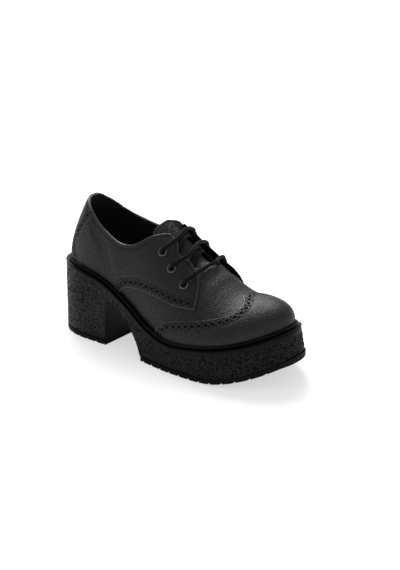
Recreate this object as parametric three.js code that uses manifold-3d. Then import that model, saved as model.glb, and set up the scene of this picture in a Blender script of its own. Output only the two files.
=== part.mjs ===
import * as THREE from 'three';
import { mergeVertices } from 'three/addons/utils/BufferGeometryUtils.js';
import Module from 'manifold-3d';

const wasm = await Module();
wasm.setup();

// A right shoe: lace-up derby upper with a wing-shaped toe cap on a platform and block heel.
// Millimetres, +X to the toe, +Y to the inner side of the foot, +Z up, floor at zero.

// Sizes of the last
const lastLength = 240;        // along the feather edge, from the back of the heel to the toe
const ballWidth = 88;          // feather edge across the ball
const instepHeight = 99;       // crown over the feather edge where the instep is highest
const toeRound = 52;           // length over which the toe narrows to its tip
const toeCrownRound = 38;      // length over which the toe comes down to its tip
const heelSeatRadius = 42;     // from the back of the heel to the axis that its sections fan about
const plumpToe = 2.05;         // exponent of the toe's outline: 2 is an ellipse, more is squarer
const plumpToeCrown = 2.2;     // exponent of the toe's profile
const plumpHeel = 2.3;         // exponent of the heel seat's outline

// Sizes of the sole unit
const heelHeight = 71;         // feather edge over the floor at the back
const platformHeight = 27;     // feather edge over the floor at the ball
const toeSpring = 16.5;        // lift of the sole under the tip of the toe
const springStart = 0.72;      // share of the length where the forefoot leaves the floor
const treadThickness = 4.5;    // smooth band that touches the floor
const treadBevel = 0.9;        // worn edge of the tread
const heelBlockEnd = 62;       // front face of the heel block, from the back of the last
const lugPitch = 11;           // from one cross groove of the tread to the next
const lugGroove = 2.6;         // width of a cross groove
const lugDepth = 2;            // depth of a cross groove
const shoulderRound = 2;       // rounded top edge of the sole unit

// Sizes of the upper and its trim
const upperWall = 1.6;         // leather and lining
const overlayThickness = 1;    // leather laid on the upper
const counterThickness = 1.3;  // heel counter laid on the upper
const insoleThickness = 1.9;
const tongueThickness = 1.6;
const outerFlapLift = 0.8;     // facing standing off the upper at the outer side
const innerFlapLift = 4.5;     // facing standing off the upper at the inner side
const outerTongueFlare = 4;    // the tongue's free end standing off the foot at the outer side
const innerTongueFlare = 9;    // the tongue's free end standing off the foot at the inner side
const weltWidth = 2.2;
const weltHeight = 2.5;
const cordRadius = 1.7;        // round waxed lace
const eyeletHole = 2.3;        // radius of the eyelet's hole
const eyeletRim = 4.3;         // radius of the eyelet's rim
const eyeletThickness = 0.7;
const eyeletHoleDepth = 20;    // through facing and upper, half of it on each side of the rim
const fitGap = 0.3;            // between pieces that touch
const edgeRound = 0.3;         // share of a thickness that a rounded edge takes off
const eyeletSides = 12;        // faces round an eyelet
const cordSides = 8;           // faces round the lace
const barSteps = 18;           // lengths along a bar of the lace
const crossingSteps = 7;       // lengths along a strand under the bars

// Grid of every form of the last
const fanRows = 7;             // round the heel
const lengthRows = 21;         // along the foot
const wrapSteps = 8;           // from the feather edge to the ridge on each side
const toeBunching = 0.4;       // how much the rows draw together towards the toe
const outer = -1;
const inner = 1;

// Tables hold shares of the named sizes; at is the share of the last's length
const table = (columns, rows) => rows.map(
  (row) => Object.fromEntries(columns.map((name, i) => [name, row[i]])));

// outer, inner, bulge, crown, ridge: of the ball width. climb: of the heel's height over the
// platform. lift: of the toe spring. height, shoulder: of the instep height.
const lastSections = table(
  ['at', 'outer', 'inner', 'climb', 'lift', 'bulge', 'crown', 'height', 'shoulder', 'ridge'], [
    [0.000, 0.329, 0.329, 1.000, 0.00, 0.058, 0.105, 0.887, 0.222, 0.000],
    [0.125, 0.337, 0.324, 0.939, 0.00, 0.029, 0.178, 0.933, 0.225, 0.006],
    [0.250, 0.345, 0.320, 0.766, 0.00, 0.026, 0.212, 0.975, 0.232, 0.020],
    [0.375, 0.387, 0.318, 0.443, 0.00, 0.031, 0.245, 0.965, 0.218, 0.036],
    [0.500, 0.468, 0.362, 0.112, 0.00, 0.034, 0.320, 0.860, 0.181, 0.050],
    [0.600, 0.520, 0.429, -0.01, 0.00, 0.036, 0.340, 0.708, 0.161, 0.052],
    [0.700, 0.532, 0.467, 0.000, 0.09, 0.035, 0.325, 0.540, 0.137, 0.044],
    [0.800, 0.510, 0.472, 0.000, 0.36, 0.045, 0.314, 0.372, 0.133, 0.032],
    [0.900, 0.452, 0.441, 0.000, 0.76, 0.054, 0.308, 0.307, 0.130, 0.021],
    [1.000, 0.391, 0.399, 0.000, 1.36, 0.052, 0.282, 0.280, 0.127, 0.010],
  ]);

// How far the sole unit stands out of the feather edge, as a share of the ball width
const soleMargins = table(['at', 'shoulder', 'foot'], [
  [0.00, 0.083, 0.089],
  [0.35, 0.068, 0.095],
  [0.70, 0.066, 0.070],
  [1.00, 0.083, 0.137],
]);

// Underside of the shank between heel block and platform; height is of the heel height
const archProfile = table(['at', 'height'], [
  [0.272, 0.630],
  [0.300, 0.600],
  [0.333, 0.550],
  [0.367, 0.478],
  [0.400, 0.372],
  [0.430, 0.262],
  [0.452, 0.145],
  [0.468, 0.020],
]);

// Edges of the panels seen from the side; height over the feather edge, of the instep height
const outerCollar = table(['at', 'height'], [
  [-0.06, 0.648], [0.07, 0.648], [0.086, 0.643], [0.10, 0.638], [0.14, 0.585],
  [0.195, 0.498], [0.25, 0.459],
  [0.30, 0.459], [0.343, 0.506], [0.38, 0.575], [0.428, 0.707], [0.455, 0.767],
  [0.486, 0.812], [0.512, 0.808], [0.53, 0.775], [0.55, 0.700],
]);
const innerCollar = table(['at', 'height'], [
  [-0.06, 0.648], [0.07, 0.648], [0.086, 0.638], [0.094, 0.606], [0.102, 0.582],
  [0.14, 0.523], [0.19, 0.497],
  [0.25, 0.504], [0.32, 0.548], [0.38, 0.620], [0.43, 0.720], [0.46, 0.785], [0.49, 0.828],
  [0.515, 0.822], [0.535, 0.785], [0.555, 0.700],
]);
const counterEdge = table(['at', 'height'], [
  [0.120, -0.060], [0.106, 0.029], [0.081, 0.096], [0.073, 0.165], [0.087, 0.249],
  [0.116, 0.368], [0.140, 0.466], [0.152, 0.530], [0.160, 0.640],
]);
const quarterEdge = table(['at', 'height'], [
  [0.305, -0.060], [0.320, 0.000], [0.343, 0.093], [0.379, 0.169], [0.428, 0.243],
  [0.476, 0.296], [0.528, 0.324], [0.575, 0.328], [0.620, 0.324], [0.684, 0.310],
  [0.740, 0.298],
]);
const wingEdge = table(['at', 'height'], [
  [0.495, -0.060], [0.518, 0.005], [0.545, 0.090], [0.575, 0.165], [0.615, 0.205],
  [0.692, 0.226], [0.742, 0.233], [0.786, 0.240], [0.825, 0.255], [0.845, 0.280],
  [0.840, 0.315], [0.813, 0.352],
]);

// Edges round the throat seen from above; across is from the ridge, of the ball width
const outerFacing = table(['at', 'across'], [
  [0.40, -0.155], [0.50, -0.158], [0.528, -0.164], [0.570, -0.174], [0.633, -0.222],
  [0.661, -0.278], [0.672, -0.321], [0.684, -0.389], [0.688, -0.446], [0.692, -0.600],
]);
const innerFacing = table(['at', 'across'], [
  [0.40, 0.150], [0.50, 0.165], [0.543, 0.200], [0.60, 0.217], [0.65, 0.222], [0.674, 0.232],
  [0.688, 0.260], [0.700, 0.300], [0.708, 0.350], [0.713, 0.446], [0.718, 0.600],
]);
const throatEdge = table(['at', 'across'], [
  [0.40, 0.225], [0.575, 0.232], [0.605, 0.222], [0.6225, 0.190], [0.6315, 0.138],
  [0.637, 0.070], [0.640, 0.000],
]);
const outerTongue = table(['at', 'across'], [
  [0.456, 0.000], [0.450, 0.110], [0.432, 0.252],
  [0.450, 0.272], [0.575, 0.250], [0.640, 0.205], [0.660, 0.130], [0.665, 0.000],
]);
const innerTongue = table(['at', 'across'], [
  [0.456, 0.000], [0.452, 0.130], [0.462, 0.165], [0.490, 0.175], [0.575, 0.190],
  [0.640, 0.200], [0.660, 0.130], [0.665, 0.000],
]);

// Eyelets, from the top pair down; across is from the ridge, of the ball width
const eyeletRows = table(['outerAt', 'outerAcross', 'innerAt', 'innerAcross'], [
  [0.498, 0.294, 0.500, 0.290],
  [0.550, 0.334, 0.556, 0.335],
  [0.615, 0.362, 0.622, 0.350],
]);

// Smooth curve through a table's column, with the slope of a parabola at each row
function read(rows, name, at) {
  const last = rows.length - 1;
  const slope = (i) => (rows[i + 1][name] - rows[i][name]) / (rows[i + 1].at - rows[i].at);
  const tangent = (i) => {
    if (i === 0) return slope(0);
    if (i === last) return slope(last - 1);
    const before = rows[i].at - rows[i - 1].at;
    const after = rows[i + 1].at - rows[i].at;
    return (slope(i - 1) * after + slope(i) * before) / (before + after);
  };
  let i = 0;
  while (i < last - 1 && at >= rows[i + 1].at) i += 1;
  const span = rows[i + 1].at - rows[i].at;
  const t = THREE.MathUtils.clamp((at - rows[i].at) / span, 0, 1);
  const rise = t * t * (3 - 2 * t);
  return rows[i][name] * (1 - rise) + rows[i + 1][name] * rise
    + t * (1 - t) * span * ((1 - t) * tangent(i) - t * tangent(i + 1));
}

const smooth = (low, high, x) => THREE.MathUtils.smoothstep(x, low, high);

// Share that a section keeps at a distance from the tip of the toe
function toeShare(fromTip, round, exponent) {
  const depth = THREE.MathUtils.clamp((round - fromTip) / round, 0, 1);
  return (1 - depth ** exponent) ** (1 / exponent);
}

function featherHeight(x) {
  const at = x / lastLength;
  return platformHeight + (heelHeight - platformHeight) * read(lastSections, 'climb', at)
    + toeSpring * read(lastSections, 'lift', at);
}

function groundHeight(x) {
  const past = Math.max(0, x / lastLength - springStart) / (1 - springStart);
  return toeSpring * past ** 2;
}

const ridgeAt = (x) => ballWidth * read(lastSections, 'ridge', x / lastLength);

// Place of a section: row 0 is the back of the heel, the fan ends at fanRows, the toe is last
const allRows = fanRows + lengthRows;

function sectionPlace(row, side) {
  const width = (at) => ballWidth * read(lastSections, side === outer ? 'outer' : 'inner', at);
  if (row < fanRows) {
    const angle = Math.PI * (1 - 0.5 * row / fanRows);
    const along = Math.abs(Math.cos(angle));
    const across = Math.sin(angle);
    const half = width(heelSeatRadius / lastLength);
    const reach = ((along / heelSeatRadius) ** plumpHeel + (across / half) ** plumpHeel)
      ** (-1 / plumpHeel);
    const x = heelSeatRadius - reach * along;
    const at = heelSeatRadius / lastLength * (1 - along ** 2);
    return { x, axis: heelSeatRadius, reach, along: -along, across, at, narrow: 1, low: 1 };
  }
  const v = (row - fanRows) / lengthRows;
  const spread = (1 - toeBunching) * Math.sin(v * Math.PI / 2)
    + toeBunching * (1 - (1 - v) ** 2);
  const x = heelSeatRadius + (lastLength - heelSeatRadius) * spread;
  const narrow = toeShare(lastLength - x, toeRound, plumpToe);
  const low = toeShare(lastLength - x, toeCrownRound, plumpToeCrown);
  const reach = width(x / lastLength) * narrow;
  return { x, axis: x, reach, along: 0, across: 1, at: x / lastLength, narrow, low };
}

// Point of the last: wrap 0 is the feather edge, 1 the ridge
function lastPoint(row, wrap, side) {
  const place = sectionPlace(row, side);
  const bulge = ballWidth * read(lastSections, 'bulge', place.at) * place.narrow;
  const crown = ballWidth * read(lastSections, 'crown', place.at) * place.narrow;
  const height = instepHeight * read(lastSections, 'height', place.at) * place.low;
  const shoulder = instepHeight * read(lastSections, 'shoulder', place.at) * place.low;
  const ridge = ballWidth * read(lastSections, 'ridge', place.at) * place.narrow;
  const left = 1 - wrap;
  const reach = place.reach * left ** 3 + 3 * wrap * left ** 2 * (place.reach + bulge)
    + 3 * wrap ** 2 * left * crown;
  const z = featherHeight(place.x) + 3 * wrap * left ** 2 * shoulder
    + height * (3 * wrap ** 2 * left + wrap ** 3);
  return new THREE.Vector3(
    place.axis + reach * place.along,
    side * reach * place.across + ridge * wrap ** 1.5 * place.across,
    z);
}

// Grid of the last with its vertex normals, each row split into so many
function buildSkin(split) {
  const points = [];
  const info = [];
  const ids = new Map();
  const rowCount = allRows * split;
  const id = (index, step, side) => {
    const row = index / split;
    const tip = index === rowCount;
    const top = step === wrapSteps;
    const r = top && row < fanRows ? fanRows : row;
    const s = tip || top || r === 0 ? outer : side;
    const key = tip ? 'tip' : `${r} ${step} ${s}`;
    if (!ids.has(key)) {
      ids.set(key, points.length);
      points.push(lastPoint(r, tip ? 0 : step / wrapSteps, s));
      info.push({ at: points[points.length - 1].x / lastLength, wrap: step / wrapSteps, side: s });
    }
    return ids.get(key);
  };
  const faces = [];
  const face = (a, b, c, side) => {
    if (a === b || b === c || a === c) return;
    faces.push(side === outer ? [a, b, c] : [a, c, b]);
  };
  for (const side of [outer, inner]) {
    for (let row = 0; row < rowCount; row += 1) {
      for (let step = 0; step < wrapSteps; step += 1) {
        const a = id(row, step, side);
        const b = id(row + 1, step, side);
        const c = id(row + 1, step + 1, side);
        const d = id(row, step + 1, side);
        face(a, b, c, side);
        face(a, c, d, side);
      }
    }
  }
  const normals = points.map(() => new THREE.Vector3());
  for (const [a, b, c] of faces) {
    const n = new THREE.Vector3().subVectors(points[b], points[a])
      .cross(new THREE.Vector3().subVectors(points[c], points[a]));
    for (const k of [a, b, c]) normals[k].add(n);
  }
  normals.forEach((n) => n.normalize());
  const foot = { [outer]: [], [inner]: [] };
  for (const side of [outer, inner]) {
    for (let row = 0; row <= rowCount; row += 1) foot[side].push(id(row, 0, side));
  }
  return { points, normals, info, faces, foot, rowCount };
}
const plainSkin = buildSkin(1);
const fineSkin = buildSkin(3);

// Closed solid from points and triangles, turned so that its faces point out
function closedSolid(points, faces) {
  let volume = 0;
  for (const [a, b, c] of faces) {
    volume += points[a].dot(new THREE.Vector3().crossVectors(points[b], points[c]));
  }
  const triangles = volume > 0 ? faces : faces.map(([a, b, c]) => [a, c, b]);
  return new wasm.Manifold(new wasm.Mesh({
    numProp: 3,
    vertProperties: new Float32Array(points.flatMap((p) => [p.x, p.y, p.z])),
    triVerts: new Uint32Array(triangles.flat()),
  }));
}

// The last grown by an offset, a number or a function of the grid point, and let down by drop
function form(offset, drop = 0, skin = plainSkin) {
  const amount = typeof offset === 'function' ? offset : () => offset;
  const points = skin.points.map((p, k) => p.clone()
    .addScaledVector(skin.normals[k], amount(skin.info[k])));
  const faces = skin.faces.map((f) => [...f]);
  const foot = { [outer]: [], [inner]: [] };
  for (const side of [outer, inner]) {
    for (const k of skin.foot[side]) points[k].z = featherHeight(skin.points[k].x);
  }
  if (drop === 0) {
    foot[outer] = skin.foot[outer];
    foot[inner] = skin.foot[inner];
  } else {
    const lowered = new Map();
    for (const side of [outer, inner]) {
      for (const k of skin.foot[side]) {
        if (!lowered.has(k)) {
          lowered.set(k, points.length);
          points.push(points[k].clone().setZ(points[k].z - drop));
        }
        foot[side].push(lowered.get(k));
      }
      for (let row = 0; row < skin.rowCount; row += 1) {
        const [a, b] = [foot[side][row], foot[side][row + 1]];
        const [d, c] = [skin.foot[side][row], skin.foot[side][row + 1]];
        faces.push(...(side === outer ? [[a, b, c], [a, c, d]] : [[a, c, b], [a, d, c]]));
      }
    }
  }
  for (let row = 0; row < skin.rowCount; row += 1) {
    const [a, b] = [foot[outer][row], foot[outer][row + 1]];
    const [d, c] = [foot[inner][row], foot[inner][row + 1]];
    if (row > 0) faces.push([a, d, c], [a, c, b]);
    else faces.push([a, c, b]);
  }
  return closedSolid(points, faces.filter(([a, b, c]) => a !== b && b !== c && a !== c));
}

// Solid of a three.js geometry
function solidOf(geometry) {
  const plain = geometry.clone();
  plain.deleteAttribute('normal');
  plain.deleteAttribute('uv');
  const merged = mergeVertices(plain, 1e-4);
  const place = merged.getAttribute('position');
  const points = [];
  for (let i = 0; i < place.count; i += 1) {
    points.push(new THREE.Vector3().fromBufferAttribute(place, i));
  }
  const index = merged.index.array;
  const faces = [];
  for (let i = 0; i < index.length; i += 3) faces.push([index[i], index[i + 1], index[i + 2]]);
  return closedSolid(points, faces.filter(([a, b, c]) => a !== b && b !== c && a !== c));
}

// Points of an edge table, smoothed, as x and height over the floor
function sideCurve(rows, steps = 3) {
  const knots = rows.map((row) => new THREE.Vector2(row.at * lastLength,
    featherHeight(row.at * lastLength) + row.height * instepHeight));
  return new THREE.SplineCurve(knots).getPoints(steps * (knots.length - 1));
}

// Points of an edge table, smoothed, as x and y
function planCurve(rows, sign = 1, steps = 2) {
  const knots = rows.map((row) => new THREE.Vector2(row.at * lastLength,
    ridgeAt(row.at * lastLength) + sign * row.across * ballWidth));
  return new THREE.SplineCurve(knots).getPoints(steps * (knots.length - 1));
}

const beyond = 1.5 * lastLength;

// Prism of a side view outline from the middle of the shoe out past one side
function sidePrism(points, side, middle = ridgeAt(0.45 * lastLength)) {
  const geometry = new THREE.ExtrudeGeometry(new THREE.Shape(points),
    { depth: beyond, bevelEnabled: false });
  geometry.rotateX(Math.PI / 2);
  geometry.translate(0, side === inner ? middle + beyond : middle, 0);
  return solidOf(geometry);
}

// Prism of a side view outline right across the shoe
function crossPrism(points) {
  return sidePrism(points, outer, beyond / 2);
}

// Prism of an outline seen from above
function planPrism(points) {
  const geometry = new THREE.ExtrudeGeometry(new THREE.Shape(points),
    { depth: beyond, bevelEnabled: false });
  return solidOf(geometry);
}

const corner = (x, y) => new THREE.Vector2(x, y);

// What stands over the collar line
function overCollar(rows, side) {
  const line = sideCurve(rows);
  const end = line[line.length - 1];
  return sidePrism([...line, corner(end.x + instepHeight / 4, end.y - instepHeight / 8),
    corner(end.x + instepHeight / 4, beyond), corner(line[0].x, beyond)], side);
}
const openCollar = overCollar(outerCollar, outer).add(overCollar(innerCollar, inner));

// The last from above the throat, for the facings and for the upper underneath
const facingGap = planPrism([...planCurve(outerFacing), corner(beyond, -ballWidth),
  corner(beyond, ballWidth), ...planCurve(innerFacing).reverse()]);
const throatGap = planPrism([...planCurve(throatEdge, -1),
  ...planCurve(throatEdge, 1).reverse().slice(1)]);

// Where the facings lift off the upper: up its wrap, from the collar on, and down to the vamp
const flapHinge = { low: 0.36, high: 0.72 };
const flapOpen = { start: 0.42, full: 0.60 };
const flapShut = { start: 0.70, full: 0.78 };

// How far the facings stand off the upper
function flapLift({ at, wrap, side }) {
  const lift = side === outer ? outerFlapLift : innerFlapLift;
  return lift * smooth(flapHinge.low, flapHinge.high, wrap)
    * smooth(flapOpen.start, flapOpen.full, at) * (1 - smooth(flapShut.start, flapShut.full, at));
}
const quarterTop = (place) => fitGap + overlayThickness + flapLift(place);

// Point over the last at a row and wrap of its grid, not only on whole rows
function overLast(row, wrap, side, offset) {
  const here = lastPoint(row, wrap, side);
  const ahead = lastPoint(row + 0.01, wrap, side).sub(here);
  const up = lastPoint(row, wrap + 0.01, side).sub(here);
  const normal = ahead.cross(up).multiplyScalar(-side).normalize();
  const place = { at: here.x / lastLength, wrap, side };
  return here.addScaledVector(normal, typeof offset === 'function' ? offset(place) : offset);
}

// Value between two ends where a rising test turns true
function bisect(low, high, test) {
  let [from, to] = [low, high];
  for (let i = 0; i < 40; i += 1) {
    const middle = (from + to) / 2;
    if (test(middle)) to = middle;
    else from = middle;
  }
  return from;
}

// Point and outward normal over the last, across millimetres from the ridge, short of it
const nearRidge = 0.985;
function onUpper(at, across, offset) {
  const side = across < 0 ? outer : inner;
  const x = at * lastLength;
  const row = bisect(fanRows, allRows, (r) => sectionPlace(r, side).x > x);
  const reach = (wrap) => Math.abs(lastPoint(row, wrap, side).y - ridgeAt(x));
  const wrap = bisect(0.3, nearRidge, (w) => reach(w) < Math.abs(across));
  const point = overLast(row, wrap, side, offset);
  const ahead = overLast(row + 0.02, wrap, side, offset).sub(point);
  const up = overLast(row, wrap + 0.01, side, offset).sub(point);
  return { point, normal: ahead.cross(up).multiplyScalar(-side).normalize() };
}

// Eyelet places: point on top of the facing, normal, and the way to the ridge
const eyeletPlaces = eyeletRows.map((row) => {
  const seat = (at, across) => {
    const { point, normal } = onUpper(at, across * ballWidth, quarterTop);
    const inward = new THREE.Vector3(0, -Math.sign(across), 0);
    inward.addScaledVector(normal, -inward.dot(normal)).normalize();
    return { point, normal, inward };
  };
  return { [outer]: seat(row.outerAt, -row.outerAcross), [inner]: seat(row.innerAt, row.innerAcross) };
});
const eyeletSeats = eyeletPlaces.flatMap((pair) => [pair[outer], pair[inner]]);

function turnedTo(normal) {
  return new THREE.Quaternion().setFromUnitVectors(new THREE.Vector3(0, 1, 0), normal);
}

const eyeletHoles = eyeletSeats.map(({ point, normal }) => {
  const geometry = new THREE.CylinderGeometry(eyeletHole, eyeletHole, eyeletHoleDepth, 8);
  geometry.applyQuaternion(turnedTo(normal));
  geometry.translate(point.x, point.y, point.z);
  return solidOf(geometry);
});
const withHoles = (solid) => eyeletHoles.reduce((left, hole) => left.subtract(hole), solid);

// Leather laid on the upper between two forms
function laidOn(top, bottom) {
  return form(top).subtract(form(bottom, upperWall)).subtract(openCollar);
}

function makeUpper() {
  const shell = form(0).subtract(form(-upperWall, upperWall));
  return withHoles(shell.subtract(openCollar).subtract(throatGap));
}

function makeToeCap() {
  const line = sideCurve(wingEdge);
  const peak = line[line.length - 1];
  const region = crossPrism([...line, corner(peak.x, beyond / 2), corner(beyond, beyond / 2),
    corner(beyond, -beyond / 2), corner(line[0].x, -beyond / 2)]);
  return laidOn(fitGap + overlayThickness, fitGap).intersect(region);
}

// Front edge of the counter, which the quarters meet with a gap
const counterLine = sideCurve(counterEdge);

function makeCounter() {
  const top = counterLine[counterLine.length - 1];
  const region = crossPrism([corner(-beyond, 0), ...counterLine, corner(top.x, beyond / 2),
    corner(-beyond, beyond / 2)]);
  return laidOn(fitGap + counterThickness, fitGap).intersect(region);
}

function makeQuarter(side) {
  const rear = counterLine.map((p) => corner(p.x + 2 * fitGap, p.y)).reverse();
  const lower = sideCurve(quarterEdge);
  const front = lower[lower.length - 1];
  const region = sidePrism([corner(rear[0].x, beyond / 2), ...rear, ...lower,
    corner(front.x, beyond / 2)], side);
  const bottom = (place) => fitGap + flapLift(place);
  return withHoles(laidOn(quarterTop, bottom).intersect(region).subtract(facingGap));
}

// The tongue runs under the lace and up to the vamp's lining; its free end stands off the foot
const tongueRise = { start: 0.614, full: 0.645 };
const tongueFlare = { low: 0.66, high: 0.93 };
const tongueFree = { start: 0.455, full: 0.492 };

function tongueTop({ at, wrap, side }) {
  const low = -upperWall - 2 * cordRadius - 4 * fitGap;
  const high = -upperWall - fitGap;
  const flare = side === outer ? outerTongueFlare : innerTongueFlare;
  const free = 1 - smooth(tongueFree.start, tongueFree.full, at);
  return low + (high - low) * smooth(tongueRise.start, tongueRise.full, at)
    + flare * free * (1 - smooth(tongueFlare.low, tongueFlare.high, wrap));
}

function makeTongue() {
  const region = planPrism([...planCurve(outerTongue, -1),
    ...planCurve(innerTongue, 1).reverse().slice(1, -1)]);
  const underside = (place) => tongueTop(place) - tongueThickness;
  const layer = form(tongueTop, 0, fineSkin).subtract(form(underside, 1, fineSkin));
  return layer.intersect(region);
}

// Closed loop round the feather edge, pushed out by a margin: outer side to the toe, then back
function featherLoop(margin) {
  const loop = [];
  for (let row = 0; row <= allRows; row += 1) loop.push(lastPoint(row, 0, outer));
  for (let row = allRows - 1; row > 0; row -= 1) loop.push(lastPoint(row, 0, inner));
  return loop.map((p, i) => {
    const before = loop[(i + loop.length - 1) % loop.length];
    const after = loop[(i + 1) % loop.length];
    const out = new THREE.Vector2(after.y - before.y, before.x - after.x).normalize();
    const push = typeof margin === 'function' ? margin(p.x) : margin;
    return { x: p.x + out.x * push, y: p.y + out.y * push, along: p.x };
  });
}

// Solid through loops that all have the same points, closed by strips from side to side
function loft(loops) {
  const count = loops[0].length;
  const points = loops.flat();
  const faces = [];
  for (let k = 0; k < loops.length - 1; k += 1) {
    for (let i = 0; i < count; i += 1) {
      const [a, b] = [k * count + i, k * count + (i + 1) % count];
      const [d, c] = [a + count, b + count];
      faces.push([a, b, c], [a, c, d]);
    }
  }
  for (const [base, flip] of [[0, true], [(loops.length - 1) * count, false]]) {
    for (let i = 0; i < count / 2; i += 1) {
      const [a, b] = [i, i + 1];
      const [d, c] = [(count - i) % count, count - i - 1];
      for (const t of [[a, b, c], [a, c, d]]) {
        const [p, q, r] = t.map((j) => base + j);
        if (p !== q && q !== r && p !== r) faces.push(flip ? [p, r, q] : [p, q, r]);
      }
    }
  }
  return closedSolid(points, faces);
}

const level = (loop, height) => loop.map((p) => new THREE.Vector3(p.x, p.y, height(p.along)));
const margin = (name, less = 0) => (x) => ballWidth * read(soleMargins, name, x / lastLength) - less;

// What is cut away between the heel block and the platform
function archGap() {
  const line = archProfile.map((row) => corner(row.at * lastLength, row.height * heelHeight));
  const curve = new THREE.SplineCurve(line).getPoints(3 * (line.length - 1));
  return crossPrism([corner(heelBlockEnd, -heelHeight),
    corner(heelBlockEnd, curve[0].y - 3 * shoulderRound),
    ...curve, corner(curve[curve.length - 1].x, -heelHeight)]);
}

function makeSoleUnit() {
  const top = (x) => featherHeight(x) - fitGap;
  const wall = loft([
    level(featherLoop(margin('foot')), (x) => groundHeight(x) + treadThickness + fitGap),
    level(featherLoop(margin('shoulder')), (x) => top(x) - shoulderRound),
    level(featherLoop(margin('shoulder', edgeRound * shoulderRound)),
      (x) => top(x) - edgeRound * shoulderRound),
    level(featherLoop(margin('shoulder', shoulderRound)), top),
  ]);
  return wall.subtract(archGap());
}

// Tread with its cross grooves, as the heel's piece and the forefoot's
function makeTreads() {
  const band = loft([
    level(featherLoop(margin('foot', treadBevel)), groundHeight),
    level(featherLoop(margin('foot')), (x) => groundHeight(x) + treadBevel),
    level(featherLoop(margin('foot')), (x) => groundHeight(x) + treadThickness),
  ]).subtract(archGap());
  let grooved = band;
  for (let x = lugPitch / 2; x < lastLength; x += lugPitch) {
    const groove = new THREE.BoxGeometry(lugGroove, beyond, 2 * lugDepth);
    groove.rotateY(-Math.atan2(groundHeight(x + lugGroove) - groundHeight(x), lugGroove));
    groove.translate(x, 0, groundHeight(x));
    grooved = grooved.subtract(solidOf(groove));
  }
  const middle = (p) => (p.boundingBox().min[0] + p.boundingBox().max[0]) / 2;
  return grooved.decompose().sort((p, q) => middle(p) - middle(q));
}

// Ring through loops that are the corners of its section, in order round the section
function ringThrough(loops) {
  const count = loops[0].length;
  const faces = [];
  for (let k = 0; k < loops.length; k += 1) {
    for (let i = 0; i < count; i += 1) {
      const [a, b] = [k * count + i, k * count + (i + 1) % count];
      const next = (k + 1) % loops.length;
      const [d, c] = [next * count + i, next * count + (i + 1) % count];
      faces.push([a, b, c], [a, c, d]);
    }
  }
  return closedSolid(loops.flat(), faces);
}

function makeWelt() {
  const foot = fitGap + Math.max(overlayThickness, counterThickness) + fitGap;
  const lip = edgeRound * weltWidth;
  const section = [[foot, 0], [foot + weltWidth, 0], [foot + weltWidth, weltHeight - lip],
    [foot + weltWidth - lip, weltHeight], [foot, weltHeight]];
  return ringThrough(section.map(([push, up]) => level(featherLoop(push),
    (x) => featherHeight(x) + up)));
}

function makeInsole() {
  const edge = featherLoop(-upperWall - 2 * fitGap);
  return loft([level(edge, featherHeight),
    level(edge, (x) => featherHeight(x) + insoleThickness)]);
}

// Cord through points as a tube
function cord(points, steps) {
  const section = new THREE.Shape();
  section.absarc(0, 0, cordRadius, 0, 2 * Math.PI);
  const path = new THREE.CatmullRomCurve3(points, false, 'centripetal');
  return new THREE.ExtrudeGeometry(section,
    { steps, curveSegments: cordSides / 2, bevelEnabled: false, extrudePath: path });
}

// Way of the lace out of an eyelet, as distance to the ridge and height over the facing, both of
// the cord's radius
const laceRise = [[0, -0.3], [0, 0.9], [0.1, 1.7], [1, 2.2], [2.4, 1.9]];

// Height of a lace's middle over the last where it lies on the facing
const onFacing = (place) => quarterTop(place) + fitGap + cordRadius;

// Height of a lace's middle between the facings, where it lies on the vamp or over the tongue
const throatFront = throatEdge[throatEdge.length - 1].at;
const overMiddle = ({ at }) => (at > throatFront ? 0 : -upperWall) + fitGap + cordRadius;

// Half a bar, from its eyelet over the facing to the facing's edge and on towards the ridge
function laceHalf(seat, from, to, middleAt) {
  const rise = laceRise.map(([toRidge, over]) => seat.point.clone()
    .addScaledVector(seat.inward, cordRadius * toRidge)
    .addScaledVector(seat.normal, cordRadius * over));
  const lying = [0.6, 0.8, 1].map((share) => onUpper(THREE.MathUtils.lerp(from.at, to.at, share),
    ballWidth * THREE.MathUtils.lerp(from.across, to.across, share), onFacing).point);
  const onVamp = middleAt > throatFront ? [0.5] : [];
  const towards = onVamp.map((share) => onUpper(THREE.MathUtils.lerp(to.at, middleAt, share),
    ballWidth * to.across * (1 - share), overMiddle({ at: middleAt }) + fitGap).point);
  return [...rise, ...lying, ...towards];
}

// Where the bar leaves each facing and meets the ridge; across is from the ridge, of the ball width
const barEdges = table(['outerAt', 'outerAcross', 'middleAt', 'innerAt', 'innerAcross'], [
  [0.520, 0.160, 0.514, 0.499, 0.158],
  [0.579, 0.174, 0.568, 0.545, 0.194],
  [0.640, 0.226, 0.655, 0.622, 0.195],
]);

function makeLaceBar(row) {
  const [hole, edge] = [eyeletRows[row], barEdges[row]];
  const near = laceHalf(eyeletPlaces[row][outer], { at: hole.outerAt, across: -hole.outerAcross },
    { at: edge.outerAt, across: -edge.outerAcross }, edge.middleAt);
  const far = laceHalf(eyeletPlaces[row][inner], { at: hole.innerAt, across: hole.innerAcross },
    { at: edge.innerAt, across: edge.innerAcross }, edge.middleAt);
  const middle = onUpper(edge.middleAt, 0, overMiddle).point;
  return cord([...near, middle, ...far.reverse()], barSteps);
}

// Two strands under the facings, from an outer eyelet to the inner one above it
const strandSpread = 2;        // each strand's bow away from the other
function makeLaceCrossing(lower, upper) {
  const under = -upperWall - fitGap - cordRadius;
  const strands = [-1, 1].map((way) => {
    const points = [0, 0.2, 0.4, 0.6, 0.8, 1].map((share) => {
      const at = THREE.MathUtils.lerp(lower.outerAt, upper.innerAt, share);
      const across = THREE.MathUtils.lerp(-lower.outerAcross, upper.innerAcross, share);
      const apart = way * strandSpread * 4 * share * (1 - share) / lastLength;
      return onUpper(at + apart, across * ballWidth, under).point;
    });
    return solidOf(cord(points, crossingSteps));
  });
  return strands[0].add(strands[1]);
}

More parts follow.
